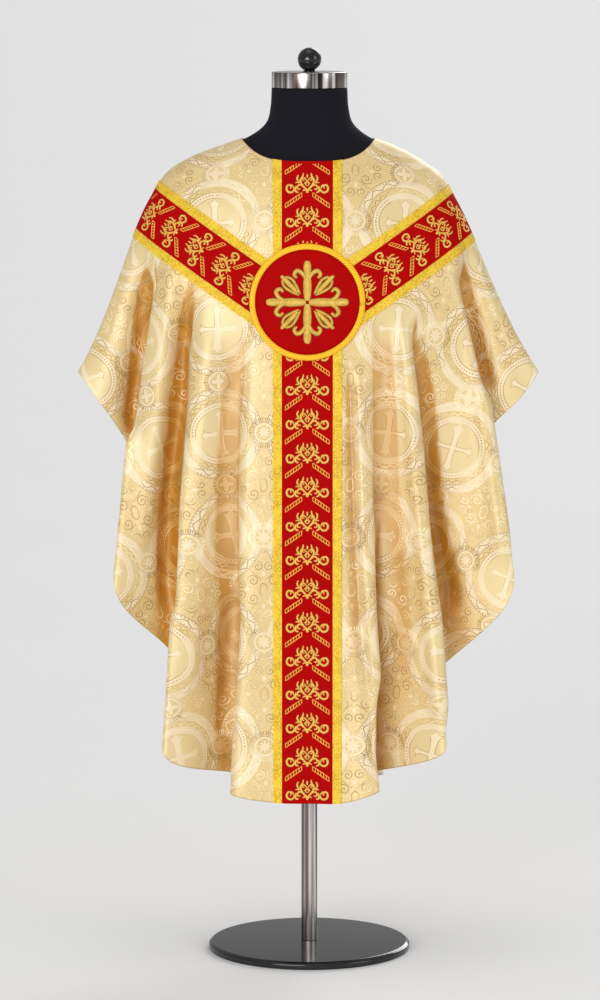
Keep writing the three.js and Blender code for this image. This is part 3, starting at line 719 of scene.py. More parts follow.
class Ruler:
    """The middle line of an orphrey, which turns lengths along it into places of the front view."""

    def __init__(self, panel, origin, direction, reach):
        self.panel = panel
        self.origin = np.array(origin, float)
        self.along = np.array(direction, float)
        self.across = np.array([-self.along[1], self.along[0]])
        places, found = [], []
        for place in np.arange(0, reach, RULER_STEP):
            hit = panel.look(*(self.origin + place * self.along))
            if hit:
                places.append(place)
                found.append(np.array(hit[0]) / MM)
        steps = np.linalg.norm(np.diff(found, axis=0), axis=1)
        self.places = np.array(places)
        self.lengths = np.concatenate([[0], steps.cumsum()])

    def spot(self, across, along):
        """The place on the front view at a distance across and a length along."""
        place = np.interp(along, self.lengths, self.places)
        return self.origin + place * self.along + across * self.across

    def lay(self, across, along, height):
        """A point on the panel, in metres, or None past its edge."""
        if not 0 <= along <= self.lengths[-1]:
            return None
        hit = self.panel.look(*self.spot(across, along))
        return None if hit is None else hit[0] + hit[1] * height * MM

    def measure(self, points):
        """Each point's distance across and length along the band, in metres."""
        offset = points[:, [0, 2]] / MM - self.origin
        lengths = np.interp(offset @ self.along, self.places, self.lengths)
        return np.stack([offset @ self.across, lengths], -1) * MM


# Numbers in material nodes

class Field:
    """A number that a material's nodes work out, with arithmetic."""

    def __init__(self, tree, socket):
        self.tree = tree
        self.socket = socket

    def math(self, operation, *others):
        node = self.tree.nodes.new("ShaderNodeMath")
        node.operation = operation
        self.tree.links.new(self.socket, node.inputs[0])
        for other, entry in zip(others, node.inputs[1:]):
            if isinstance(other, Field):
                self.tree.links.new(other.socket, entry)
            else:
                entry.default_value = other
        return Field(self.tree, node.outputs[0])

    def __add__(self, other):
        return self.math("ADD", other)

    def __sub__(self, other):
        return self.math("SUBTRACT", other)

    def __mul__(self, other):
        return self.math("MULTIPLY", other)

    def __truediv__(self, other):
        return self.math("DIVIDE", other)

    def __abs__(self):
        return self.math("ABSOLUTE")

    def minus_from(self, number):
        return self * -1.0 + number

    def least(self, other):
        return self.math("MINIMUM", other)

    def most(self, other):
        return self.math("MAXIMUM", other)

    def sine(self):
        return self.math("SINE")

    def spiral(self, other, pitch, reach, width=0.8):
        """A curl round the origin of two numbers, with so many millimetres between its turns."""
        radius = self.hypot(other)
        turn = self.math("ARCTAN2", other) / (2 * math.pi)
        line = (radius / pitch - turn).folded(1.0, 0.5) * pitch
        return line.inside(width) * radius.inside(reach)

    def clamped(self):
        return self.least(1.0).most(0.0)

    def steep(self, middle, gain, lift=0.0):
        """More contrast about a middle value, kept from 0 to 1."""
        return ((self - middle) * gain + lift).clamped()

    def stripes(self, rate):
        """Soft stripes from 0 to 1 along the number."""
        return (self * rate).sine() * 0.5 + 0.5

    def hypot(self, other):
        return (self * self + other * other).math("SQRT")

    def inside(self, limit, soft=0.6):
        """1 where the number is under a limit and 0 over it, with a soft edge."""
        return (self.minus_from(limit) / soft + 0.5).clamped()

    def near(self, value, half):
        """1 where the number is within half of a value."""
        return abs(self - value).inside(half)

    def folded(self, period, start=0.0):
        """Distance from the nearest whole repeat."""
        return abs((self - (start - period / 2)).math("FLOORED_MODULO", period) - period / 2)


def union(fields):
    """The greatest of several numbers at each place."""
    return reduce(Field.most, fields)


class Finish:
    """A procedural material. Constant values are named like the shader's sockets, with underscores."""

    def __init__(self, name, **values):
        self.material = bpy.data.materials.new(name)
        self.material.use_nodes = True
        self.tree = self.material.node_tree
        self.shader = self.tree.nodes["Principled BSDF"]
        for socket, value in values.items():
            self.shader.inputs[socket.replace("_", " ")].default_value = value

    def new(self, kind, **settings):
        node = self.tree.nodes.new(kind)
        for name, value in settings.items():
            setattr(node, name, value)
        return node

    def flat_map(self):
        return self.new("ShaderNodeUVMap", uv_map="flat").outputs[0]

    def flat_place(self):
        """The flat place in millimetres, across and along."""
        separate = self.new("ShaderNodeSeparateXYZ")
        self.tree.links.new(self.flat_map(), separate.inputs[0])
        across, along = (Field(self.tree, separate.outputs[i]) for i in (0, 1))
        return across / MM, along / MM

    def kept(self, name):
        """A number that the mesh keeps on its vertices."""
        source = self.new("ShaderNodeAttribute", attribute_name=name)
        return Field(self.tree, source.outputs["Fac"])

    def noise(self, scale, detail=3.0, stretch=(1, 1, 1), flat=False):
        """Noise of a scale in grains per metre."""
        output = self.flat_map() if flat else self.new("ShaderNodeTexCoord").outputs["Object"]
        mapping = self.new("ShaderNodeMapping")
        mapping.inputs["Scale"].default_value = stretch
        noise = self.new("ShaderNodeTexNoise")
        noise.inputs["Scale"].default_value = scale
        noise.inputs["Detail"].default_value = detail
        self.tree.links.new(output, mapping.inputs[0])
        self.tree.links.new(mapping.outputs[0], noise.inputs[0])
        return Field(self.tree, noise.outputs[0])

    def blend(self, amount, first, second):
        """Colour between two others; each is a colour or another blend."""
        node = self.new("ShaderNodeMix", data_type="RGBA")
        self.tree.links.new(amount.socket, node.inputs["Factor"])
        for colour, entry in ((first, node.inputs[6]), (second, node.inputs[7])):
            if isinstance(colour, tuple):
                entry.default_value = (*colour, 1.0)
            else:
                self.tree.links.new(colour, entry)
        return node.outputs[2]

    def colour(self, colour):
        self.tree.links.new(colour, self.shader.inputs["Base Color"])

    def rough(self, amount):
        self.tree.links.new(amount.socket, self.shader.inputs["Roughness"])

    def bump(self, height, depth):
        """Small relief: a height from 0 to 1 times a depth in millimetres."""
        node = self.new("ShaderNodeBump")
        node.inputs["Strength"].default_value = 1.0
        node.inputs["Distance"].default_value = depth * MM
        self.tree.links.new(height.socket, node.inputs["Height"])
        self.tree.links.new(node.outputs[0], self.shader.inputs["Normal"])


# Finishes

def cross_figure(across, down, margin=0.0):
    """A slender cross with flared, pointed ends, in a quarter of its roundel."""
    parts = []
    for arm, aside, out in zip(CROSS, (across, down), (down, across)):
        half, flare, flare_length, reach, tip, tip_half = arm
        side = (out / flare_length).math("POWER", FLARE_POWER) * flare + half
        parts.append((aside - side).inside(margin) * out.inside(reach + margin))
        parts.append((aside + abs(out - tip) * TIP_SLOPE).inside(tip_half + margin))
    return union(parts)


def rosette(across, along, kind):
    """The figure and the lines of a rosette, and 0 under it to 1 beyond it."""
    petals, reach, swing, rays, ray_radius, ray_half = ROSETTES[kind]
    radius = across.hypot(along)
    turn = across.math("ARCTAN2", along)
    petal = radius - ((turn * petals + math.pi / 2).sine() * swing + reach)
    figure = petal.inside(0.0).most(radius.near(ROSETTE_RING, 2.0))
    lines = (turn * rays).sine().inside(-0.1, 0.5) * radius.near(ray_radius, ray_half)
    lines = union([lines, petal.near(0.0, 0.6), radius.near(ROSETTE_RIM, LINE)])
    return figure, lines, radius.inside(ROSETTE_EDGE).minus_from(1.0)


def brocade():
    finish = Finish(
        "brocade", Roughness=0.5, Metallic=0.15, Coat_Weight=0.35, Coat_Roughness=0.38, Coat_IOR=1.6,
        Sheen_Weight=0.2, Sheen_Roughness=0.3, Sheen_Tint=(1.0, 0.93, 0.78, 1.0),
    )
    across, along = finish.flat_place()
    a = abs(across).folded(REPEAT_ACROSS, REPEAT_SIDE)
    b = along.folded(REPEAT_DOWN, REPEAT_START)
    far_a = a.minus_from(REPEAT_ACROSS / 2)
    far_b = b.minus_from(REPEAT_DOWN / 2)
    centre = a.hypot(b)
    turn = a.math("ARCTAN2", b)

    def wavy(waves, swing, radius, half):
        return (centre - (turn * waves).sine() * swing).near(radius, half)

    def beaded(beads, radius, half):
        return (turn * beads).sine().inside(-0.3, 0.6) * centre.near(radius, half)

    # The great roundel: a cross on satin, a dotted ring, a wavy line and an outer band with a vine,
    # which the small rosettes above and beside it cover
    disc = centre.inside(DISC_EDGE)
    cross = cross_figure(a, b)
    cross_edge = cross_figure(a, b, CROSS_MARGIN) * cross.minus_from(1.0)
    above, above_lines, above_free = rosette(a, far_b, "above")
    beside, beside_lines, beside_free = rosette(far_a, b, "beside")
    free = above_free * beside_free
    rims = [centre.near(radius, LINE) for radius in RIMS]
    rims = union(rims + [wavy(*row) for row in WAVES] + [beaded(*row) for row in BEADS])

    # Curls, a stem, a heart and buds in the corners between the outer bands
    between = centre.inside(ROUNDEL_REACH).minus_from(1.0) * free
    curls = [(far_a - x).spiral(far_b - y, pitch, reach) for x, y, pitch, reach in CURLS]
    stem = (far_a * STEM["slope"] - far_b + STEM["rise"]).near(0.0, STEM["half"])
    curls.append(stem * far_a.near(STEM["middle"], STEM["reach"]))
    heart = far_a.hypot(far_b * HEART["along"]) - far_b.math("ARCTAN2", far_a) * HEART["swing"]
    curls.append(heart.near(HEART["radius"], HEART["half"]))
    buds = [((far_a - x) * p).hypot((far_b - y) * q).inside(radius) for x, y, p, q, radius in BUDS]

    rings = [centre.near(*ring) for ring in RINGS]
    lines = union(rings + [
        beaded(*DOTS), above_lines, beside_lines,
        rims * free, union(curls) * between, cross_edge * 0.8,
    ])
    figure = union([
        cross * disc, centre.near(DOT_RING, DOT_BAND), above, beside,
        centre.near(VINE_RING, VINE_BAND) * free, union(buds) * between,
    ])

    # Painted glints: the gold thread's sparks of light are painted into the colour, most of all on the
    # ground between the figures
    painted_glints = finish.noise(420.0, 2.0, flat=True).steep(0.56, 7.0)
    painted_glints = painted_glints * disc.minus_from(1.0) * (figure * 0.6).minus_from(1.0)
    cast = finish.noise(7.0, 2.0)
    patch = finish.noise(120.0, 3.0, flat=True)
    dark_part = finish.noise(11.0, 2.0, flat=True).steep(0.5, 6.0, 0.7)
    ground = finish.blend(cast, (0.75, 0.55, 0.235), (0.83, 0.63, 0.31))
    ground = finish.blend(patch * 0.5, ground, (0.66, 0.44, 0.14))
    satin = finish.blend(cast, (0.75, 0.57, 0.27), (0.82, 0.65, 0.34))

    # Painted shade: the hollows of the folds are deeper in colour, and raised figures less so
    depth = finish.kept("painted_fold_shade")
    depth = (depth * 1.3).clamped() * depth * 0.95
    colour = finish.blend(depth, finish.blend(disc, ground, satin), (0.53, 0.21, 0.0))
    figure_with_fold_shade = finish.blend(depth, (0.93, 0.78, 0.55), (0.67, 0.34, 0.03))
    colour = finish.blend(figure * 0.66, colour, figure_with_fold_shade)
    # Painted glints, left out of the painted shade of the folds
    colour = finish.blend(painted_glints * depth.minus_from(1.0) * 0.85, colour, (1.0, 0.88, 0.52))
    colour = finish.blend(lines * dark_part * 0.85, colour, (0.36, 0.20, 0.05))
    colour = finish.blend(lines * dark_part.minus_from(1.0) * 0.8, colour, (1.0, 0.90, 0.62))

    # A darker band along the hem and the neckline
    turned = finish.kept("hem").steep(HEM_SHARE, 12.0)
    finish.colour(finish.blend(turned * 0.6, colour, (0.40, 0.22, 0.06)))
    finish.rough(figure * 0.08 + patch * 0.12 + 0.40)

    # Fine ribs of the weft over the raised figure
    ribs = (along * 7.0).sine() * 0.05
    finish.bump(figure * 0.7 - lines * 0.4 + patch * disc.minus_from(1.0) * 0.5 + ribs, 0.3)
    return finish.material


def grained(name, grain, first, second, depth=0.0, **values):
    """Two close colours in a fine grain, whose scale, detail and stretch are given."""
    finish = Finish(name, **values)
    height = finish.noise(*grain)
    finish.colour(finish.blend(height, first, second))
    if depth:
        finish.bump(height, depth)
    return finish.material


def lining():
    return grained(
        "brocade_reverse", (700.0, 2.0, (1, 1, 0.2)), (0.62, 0.50, 0.32), (0.72, 0.60, 0.42), 0.08,
        Roughness=0.55, Metallic=0.0,
        Sheen_Weight=0.3, Sheen_Roughness=0.4, Sheen_Tint=(1.0, 0.95, 0.85, 1.0),
    )


def red_cloth():
    finish = Finish("orphrey_red", Roughness=0.75, Metallic=0.0, Specular_IOR_Level=0.04)
    across, along = finish.flat_place()
    cast = finish.noise(26.0, 3.0)
    finish.colour(finish.blend(cast, (0.38, 0.0008, 0.001), (0.45, 0.0015, 0.002)))
    finish.bump((across + along).stripes(6.5), 0.05)
    return finish.material


def gold_braid():
    finish = Finish("galloon", Roughness=0.45, Metallic=0.15, Specular_IOR_Level=0.2)
    across, along = finish.flat_place()
    zigzag = (across.folded(4.2) * 1.4 + along).folded(2.6) / 1.3
    fleck = finish.noise(300.0, 3.0, flat=True)
    patch = finish.noise(45.0, 2.0, flat=True)
    colour = finish.blend(patch.steep(0.5, 3.0, 0.5), (0.58, 0.31, 0.006), (0.84, 0.54, 0.022))
    finish.colour(finish.blend(fleck.steep(0.5, 5.0, 0.5) * 0.7, colour, (1.0, 0.73, 0.085)))
    finish.bump(zigzag * 0.5 + fleck, 0.5)
    return finish.material


def gold_thread(name, shade, light):
    """Satin stitch: threads lie side by side across the stroke."""
    finish = Finish(name, Roughness=0.42, Metallic=0.25)
    _, along = finish.flat_place()
    threads = along.stripes(9.0)
    cast = finish.noise(160.0, 2.0)
    finish.colour(finish.blend(threads * 0.25, finish.blend(cast, shade, light), shade))
    finish.bump(threads, 0.12)
    return finish.material


def cord_gold():
    finish = Finish("roundel_cord_gold", Roughness=0.45, Metallic=0.1, Specular_IOR_Level=0.2)
    across, along = finish.flat_place()
    twist = (along * 0.9 + across).stripes(1.1)
    finish.colour(finish.blend(twist, (0.82, 0.40, 0.008), (1.0, 0.62, 0.03)))
    finish.bump(twist, 0.3)
    return finish.material


def jersey():
    return grained(
        "jersey_black", (1300.0, 2.0, (1, 1, 0.35)), (0.003, 0.003, 0.005), (0.012, 0.011, 0.018), 0.15,
        Roughness=0.85, Metallic=0.0, Specular_IOR_Level=0.12,
        Sheen_Weight=0.03, Sheen_Roughness=0.5, Sheen_Tint=(0.5, 0.5, 0.6, 1.0),
    )


def chrome():
    """Polished metal with painted reflections: the upright streaks of a dark room are painted into its
    colour.
    """
    finish = Finish("chrome_painted_reflections", Roughness=0.26, Metallic=1.0)
    upright = (1, 1, 0.01)
    painted_bright_streak = finish.noise(60.0, 4.0, stretch=upright).steep(0.5, 8.0, 0.3)
    painted_dark = finish.noise(85.0, 3.0, stretch=upright).steep(0.52, 9.0)
    # The whole colour is a painted reflection: a brown-grey room with bright and black upright streaks
    cast = finish.noise(34.0, 2.0, stretch=upright)
    colour = finish.blend(cast, (0.20, 0.13, 0.10), (0.16, 0.16, 0.17))
    colour = finish.blend(painted_bright_streak, colour, (0.80, 0.77, 0.74))
    finish.colour(finish.blend(painted_dark * 0.9, colour, (0.02, 0.018, 0.018)))
    finish.rough(painted_bright_streak * 0.04 + 0.24)
    return finish.material


def chrome_plain():
    """The same metal on a level face, which mirrors the even light above it."""
    return grained(
        "chrome_level", (30.0, 2.0), (0.60, 0.58, 0.56), (0.68, 0.66, 0.64),
        Roughness=0.22, Metallic=1.0,
    )


def enamel():
    finish = Finish("enamel_black", Roughness=0.12, Metallic=0.0)
    haze = finish.noise(60.0, 3.0)
    finish.colour(finish.blend(haze, (0.004, 0.004, 0.005), (0.012, 0.012, 0.014)))
    finish.rough(haze * 0.15 + 0.06)
    return finish.material


# Embroidery

def stroke_grid(path, half, samples, blunt=0.35, profile=PROFILE):
    """Places across and along a stroke that tapers at its ends, with heights from 0 to 1."""
    path = np.array(path, float)
    knots = np.concatenate([[0], np.linalg.norm(np.diff(path, axis=0), axis=1).cumsum()])
    t = np.linspace(0, 1, samples)
    line = smooth_curve(knots, path)(t * knots[-1])
    run = np.gradient(line, axis=0)
    run /= np.linalg.norm(run, axis=1, keepdims=True)
    side = np.stack([-run[:, 1], run[:, 0]], -1)
    width = half * (blunt + (1 - blunt) * np.sqrt(np.sin(np.pi * t).clip(0)))
    offset, level = np.array(profile).T
    places = line[:, None] + side[:, None] * offset[None, :, None] * width[:, None, None]
    flat = np.stack(np.broadcast_arrays(offset[None] * half, (t * knots[-1])[:, None]), -1)
    return places, level[None] * (width / half)[:, None], flat


def mirrored(grid):
    places, height, flat = grid
    return (places * np.array([-1, 1]))[:, ::-1], height[:, ::-1], flat[:, ::-1]


def ladder_strokes():
    """The paths of the rails and rungs of one bar."""
    low, high = np.array(LADDER["low"], float), np.array(LADDER["high"], float)
    up = np.array([0, LADDER["apart"] / 2])
    rails = [[low + sign * up, high + sign * up] for sign in (-1, 1)]
    steps = np.linspace(0, 1, LADDER["rungs"])
    rungs = [[low + (high - low) * s - up, low + (high - low) * s + up] for s in steps]
    return rails + rungs


def table_strokes(table, samples, full, wide, blunt, shade_thread_blunt):
    """A table's strokes in gold thread, and the dark thread of painted shade behind them, as two lists
    of grids.

    samples are how many a stroke has, and how many more for each point of its path.
    """
    gold, painted_dark = [], []
    for _, half, single, path in table:
        path = np.array(path) * (wide, 1.0)
        count = samples[0] + samples[1] * len(path)
        grids = [
            stroke_grid(path, half * full, count, blunt),
            stroke_grid(path, half + SHADE_THREAD_MARGIN, count, shade_thread_blunt, FLAT_PROFILE),
        ]
        for grid, thread in zip(grids, (gold, painted_dark)):
            thread += [grid] if single else [grid, mirrored(grid)]
    return gold, painted_dark


def motif_strokes():
    gold, painted_dark = table_strokes(MOTIF, (4, 3), FULLNESS, MOTIF_WIDTH, 0.35, 0.35)
    for path in ladder_strokes():
        grid = stroke_grid(path, LADDER["half"], 3, blunt=0.8)
        gold += [grid, mirrored(grid)]
    return gold, painted_dark


def emblem_strokes():
    """The cross, its lobed ends and the leaves in its corners: the quarter, turned four times."""
    quarter = table_strokes(EMBLEM, (5, 4), 1.0, 1.0, 0.45, 0.5)
    turned = ([], [])
    for turn in (math.pi / 2 * k for k in range(4)):
        spin = np.array([[math.cos(turn), math.sin(turn)], [-math.sin(turn), math.cos(turn)]])
        for grids, thread in zip(quarter, turned):
            thread += [(places @ spin, height, flat) for places, height, flat in grids]
    return turned


class Stitching:
    """Gathers laid strokes into one mesh: gold thread first, then the dark thread that paints shade
    round them.
    """

    def __init__(self):
        self.points, self.faces, self.flat, self.kinds = [], [], [], []

    def add(self, lay, strokes, base, rise):
        """lay turns (across, along, height) into a point, or None where no thread goes."""
        for kind, grids in enumerate(strokes):
            lift = (rise, SHADE_THREAD_HEIGHT)[kind]
            for places, height, flat in grids:
                self.add_grid(lay, places, base + height * lift, flat, kind)

    def add_grid(self, lay, places, height, flat, kind):
        rows, width = height.shape
        first = len(self.points)
        laid = [lay(*places[r, c], height[r, c]) for r in range(rows) for c in range(width)]
        self.points += [point or Vector() for point in laid]
        self.flat += (flat * MM).reshape(-1, 2).tolist()
        for r in range(rows - 1):
            for c in range(width - 1):
                at = r * width + c
                quad = [at, at + 1, at + width + 1, at + width]
                if all(laid[i] for i in quad):
                    self.faces.append([first + i for i in quad])
                    self.kinds.append(kind)

    def mesh(self, name):
        used = sorted({i for face in self.faces for i in face})
        renumber = {old: new for new, old in enumerate(used)}
        faces = [[renumber[i] for i in face] for face in self.faces]
        mesh = plain_mesh(name, np.array([self.points[i] for i in used]), faces)
        set_uv(mesh, np.array([self.flat[i] for i in used]))
        mesh.polygons.foreach_set("material_index", self.kinds)
        return mesh


# The garment

def view_plane(x, z, normal_x, normal_z):
    """A point and a normal of a plane that the front view shows as a line."""
    return ((x, 0, z), (normal_x, 0, normal_z))


def upright_planes(low, high):
    return [view_plane(TRIM_MIDDLE + x, 0, sign, 0) for x, sign in ((low, -1), (high, 1))]


def slant_planes(sign, low, high):
    """Between two distances from a slanting orphrey's middle line, outside of the upright one."""
    normal = (-sign * math.sin(SLANT_RISE), math.cos(SLANT_RISE))

    def height(distance):
        return SLANT_APEX + distance / math.cos(SLANT_RISE)

    return [
        view_plane(TRIM_MIDDLE, height(high), *normal),
        view_plane(TRIM_MIDDLE, height(low), -normal[0], -normal[1]),
        view_plane(TRIM_MIDDLE + sign * (TRIM_EDGE + SEAM), 0, -sign, 0),
    ]


TRIMS = {
    # word in the node's name, thickness and finish
    "orphrey": ("band", BAND, "orphrey"),
    "galloon": ("braid", GALLOON, "braid"),
}


def add_trim(panel, kind, line, tail, planes, ruler, finishes):
    """A band or braid along one line of an orphrey, made of the panel's own surface."""
    word, thickness, slot = TRIMS[kind]
    cut = cut_surface(panel.surface, planes)
    flat = ruler.measure(mesh_arrays(cut)[0])
    face = CLOTH / 2 + SEAM
    name = f"{panel.side}_{kind}_{line}{tail}"
    mesh = shell_mesh(name, cut, face, face + thickness, flat)
    finish = finishes[slot]
    return add_piece(name, mesh, [finish, finish], slot, f"{panel.side}_{line}_{word}{tail}")


def add_orphreys(panel, finishes):
    """The upright and slanting orphreys of one panel, with their braids and embroidery."""
    side = panel.side
    clear = ROUNDEL_RADIUS if side == "front" else 0
    stitching = Stitching()
    strokes = motif_strokes()
    base = CLOTH / 2 + SEAM + BAND
    upright = Ruler(panel, (TRIM_MIDDLE, RULER_TOP), (0, -1), UPRIGHT_REACH)
    planes = upright_planes(-BAND_HALF, BAND_HALF)
    pieces = [add_trim(panel, "orphrey", "upright", "", planes, upright, finishes)]
    for k in range(int(upright.lengths[-1] / MOTIF_STEP) + 1):
        along = upright.lengths[-1] - MOTIF_FOOT - k * MOTIF_STEP
        if side == "front" and upright.spot(0, along)[1] > ROUNDEL_HEIGHT:
            along += MOTIF_DROP
        stitching.add(upright_lay(upright, along, clear), strokes, base, STITCH_HEIGHT)
    for word, sign in (("_left", -1), ("_right", 1)):
        planes = upright_planes(*sorted((sign * (BAND_HALF + SEAM), sign * TRIM_EDGE)))
        pieces.append(add_trim(panel, "galloon", "upright", word, planes, upright, finishes))
        direction = (sign * math.cos(SLANT_RISE), math.sin(SLANT_RISE))
        slant = Ruler(panel, (TRIM_MIDDLE, SLANT_APEX), direction, SLANT_REACH)
        near, far = SLANT_HALF + SEAM, SLANT_HALF + BRAID_WIDTH
        for kind, tail, low, high in (
            ("orphrey", word, -SLANT_HALF, SLANT_HALF),
            ("galloon", "_upper" + word, near, far), ("galloon", "_lower" + word, -far, -near),
        ):
            planes = slant_planes(sign, low, high)
            pieces.append(add_trim(panel, kind, "slant", tail, planes, slant, finishes))
        for k in range(SLANT_MOTIFS):
            lay = slant_lay(slant, SLANT_START + k * SLANT_STEP, clear)
            stitching.add(lay, strokes, base, STITCH_HEIGHT)
    # Gold thread, and the dark thread of painted shade round it
    mesh = stitching.mesh(side + "_embroidery")
    return pieces + [add_piece(mesh.name, mesh, [finishes["thread"], finishes["edge"]], "braid")]


def in_roundel(x, z, clear):
    return math.hypot(x - TRIM_MIDDLE, z - ROUNDEL_HEIGHT) < clear


def upright_lay(ruler, start, clear):
    """Lays a motif on the upright orphrey with its head up, clear of the roundel."""
    def lay(across, along, height):
        length = start - along
        x, z = ruler.spot(-across, length)
        return None if in_roundel(x, z, clear) else ruler.lay(-across, length, height)

    return lay


def slant_lay(ruler, start, clear):
    """Lays a motif on a slanting orphrey with its head to the shoulder, clear of what lies over it."""
    def lay(across, along, height):
        across *= SLANT_HALF / BAND_HALF
        x, z = ruler.spot(across, start + along)
        covered = abs(x - TRIM_MIDDLE) < TRIM_EDGE + 1 or in_roundel(x, z, clear)
        return None if covered else ruler.lay(across, start + along, height)

    return lay


def polar_grid(radii, segments):
    """Places of rings round the roundel's centre, ring by ring."""
    angle = np.linspace(0, 2 * np.pi, segments, endpoint=False)
    return np.stack([np.outer(radii, np.cos(angle)), np.outer(radii, np.sin(angle))], -1)


def roundel_depth(panel, rings=12, segments=48):
    """A smooth sheet that spans the creases under the roundel: depth as a plain quadratic."""
    places = polar_grid(np.linspace(0, ROUNDEL_RADIUS, rings), segments).reshape(-1, 2)
    depths = np.array([panel.look(TRIM_MIDDLE + x, ROUNDEL_HEIGHT + z)[0].y / MM for x, z in places])

    def terms(x, z):
        return np.stack([np.ones_like(x), x, z, x * x, x * z, z * z, x**4], -1)

    factors, *_ = np.linalg.lstsq(terms(*places.T), depths, rcond=None)
    worst = (depths - terms(*places.T) @ factors).min()
    return lambda x, z: terms(x, z) @ factors + min(worst, 0.0)


def add_roundel(panel, finishes, segments=96):
    """The breast emblem: a red disc, the gold cord round it and the raised figure."""
    depth = roundel_depth(panel)
    under = CLOTH / 2 + SEAM + GALLOON + SEAM

    def lay(x, z, height):
        y = float(depth(np.array(x), np.array(z))) - under - height
        return Vector((x + TRIM_MIDDLE, y, z + ROUNDEL_HEIGHT)) * MM

    def ring_mesh(name, radii, heights, around):
        """Its flat places run around it, or else straight across."""
        places = polar_grid(radii, segments)
        points = np.array([[lay(*p, h) for p in ring] for ring, h in zip(places, heights)])
        faces = grid_faces(segments, len(radii), closed=True)
        mesh = plain_mesh(name, points.transpose(1, 0, 2).reshape(-1, 3), faces)
        if around:
            length = np.linspace(0, 2 * np.pi * ROUNDEL_RADIUS, segments)
            places = np.stack(np.broadcast_arrays(np.array(radii, float)[:, None], length[None]), -1)
        set_uv(mesh, places.transpose(1, 0, 2).reshape(-1, 2) * MM)
        return mesh

    inner = ROUNDEL_RADIUS - ROUNDEL_BORDER
    face = [1.0, *np.linspace(8, inner - SEAM, 12)]
    heights = [DISC_CLOTH] * len(face) + [0.0, 0.0]
    disc = ring_mesh("roundel_cloth", [*face, inner - SEAM, 1.0], heights, False)

    turns = np.linspace(0, np.pi, 9)
    middle, half = ROUNDEL_RADIUS - ROUNDEL_BORDER / 2, ROUNDEL_BORDER / 2
    radii = [*(middle - half * np.cos(turns)), ROUNDEL_RADIUS, inner]
    heights = [*(BORDER_EDGE + BORDER_ROUND * np.sin(turns)), 0.0, 0.0]
    cord = ring_mesh("roundel_cord", radii + radii[:1], heights + heights[:1], True)

    stitching = Stitching()
    stitching.add(lay, emblem_strokes(), DISC_CLOTH, EMBLEM_RELIEF)
    figure = stitching.mesh("roundel_emblem")
    # The emblem's gold thread, and the dark thread of painted shade round it
    threads = [finishes["emblem"], finishes["edge"]]
    return [
        add_piece("roundel_cloth", disc, [finishes["orphrey"]], "orphrey", "roundel"),
        add_piece("roundel_cord", cord, [finishes["cord"]], "braid", "roundel_border"),
        add_piece("roundel_emblem", figure, threads, "braid", "roundel_cross"),
    ]


def add_garment():
    finishes = {
        "orphrey": red_cloth(), "braid": gold_braid(), "cord": cord_gold(),
        "thread": gold_thread("orphrey_thread", (0.84, 0.36, 0.03), (1.0, 0.68, 0.13)),
        # The dark thread round the strokes is painted shade
        "edge": gold_thread("painted_shade_thread", (0.045, 0.008, 0.004), (0.12, 0.03, 0.008)),
        "emblem": gold_thread("emblem_thread", (0.56, 0.29, 0.012), (1.0, 0.76, 0.17)),
    }
    cloth, reverse = brocade(), lining()
    front = Panel("front", RIGHT_TIP - LOOP_LENGTH, LEFT_TIP, -1)
    back = Panel("back", LEFT_TIP, RIGHT_TIP, 1)
    for panel in (front, back):
        name = panel.side + "_cloth"
        mesh = shell_mesh(name, panel.surface, -CLOTH / 2, CLOTH / 2, panel.flat.reshape(-1, 2))
        # The painted shade of the folds, which the brocade reads
        set_values(mesh, "painted_fold_shade", np.tile(panel.painted_fold_shade.ravel(), 2))
        set_values(mesh, "hem", np.tile(panel.hem.ravel(), 2))
        piece = add_piece(name, mesh, [cloth, reverse], "brocade", panel.side + "_panel")
        trims = add_orphreys(panel, finishes)
        if panel is front:
            trims += add_roundel(panel, finishes)
        width, length, area = panel.cut_size()
        print(f"cut of {panel.side}: {width:.3f} x {length:.3f} m, {area:.3f} m2")


# The dress form

def capped_mesh(name, grid, ends):
    """A closed body from a grid of rings in millimetres, with the heights of its two ends."""
    columns, rows = grid.shape[:2]
    points = np.concatenate([grid.reshape(-1, 3), [(0, 0, height) for height in ends]])
    faces = grid_faces(columns, rows, closed=True)
    first, last = len(points) - 2, len(points) - 1
    for c in range(columns):
        after = (c + 1) % columns
        faces.append([first, after * rows, c * rows])
        faces.append([last, c * rows + rows - 1, after * rows + rows - 1])
    return plain_mesh(name, points * MM, faces)


def lathe_mesh(name, profile, segments=64):
    """A turned body from a profile of (radius, height) in millimetres, bottom to top."""
    angle = np.linspace(0, 2 * np.pi, segments, endpoint=False)
    radius, height = np.array(profile[1:-1], float).T
    grid = np.stack([
        np.outer(np.cos(angle), radius), np.outer(np.sin(angle), radius),
        np.broadcast_to(height, (segments, len(height))),
    ], -1)
    return capped_mesh(name, grid, (profile[0][1], profile[-1][1]))


def rounded(corners, radius, steps=4, most=0.45):
    """A profile whose inner corners are arcs, each over at most this share of its two sides."""
    profile = [corners[0]]
    for before, corner, after in zip(corners, corners[1:], corners[2:]):
        before, corner, after = (np.array(p, float) for p in (before, corner, after))
        start, end = (
            corner + (other - corner) * min(radius / np.linalg.norm(other - corner), most)
            for other in (before, after)
        )
        for t in np.linspace(0, 1, steps + 1):
            point = (1 - t) ** 2 * start + 2 * t * (1 - t) * corner + t**2 * end
            profile.append((float(point[0]), float(point[1])))
    profile.append(corners[-1])
    return profile


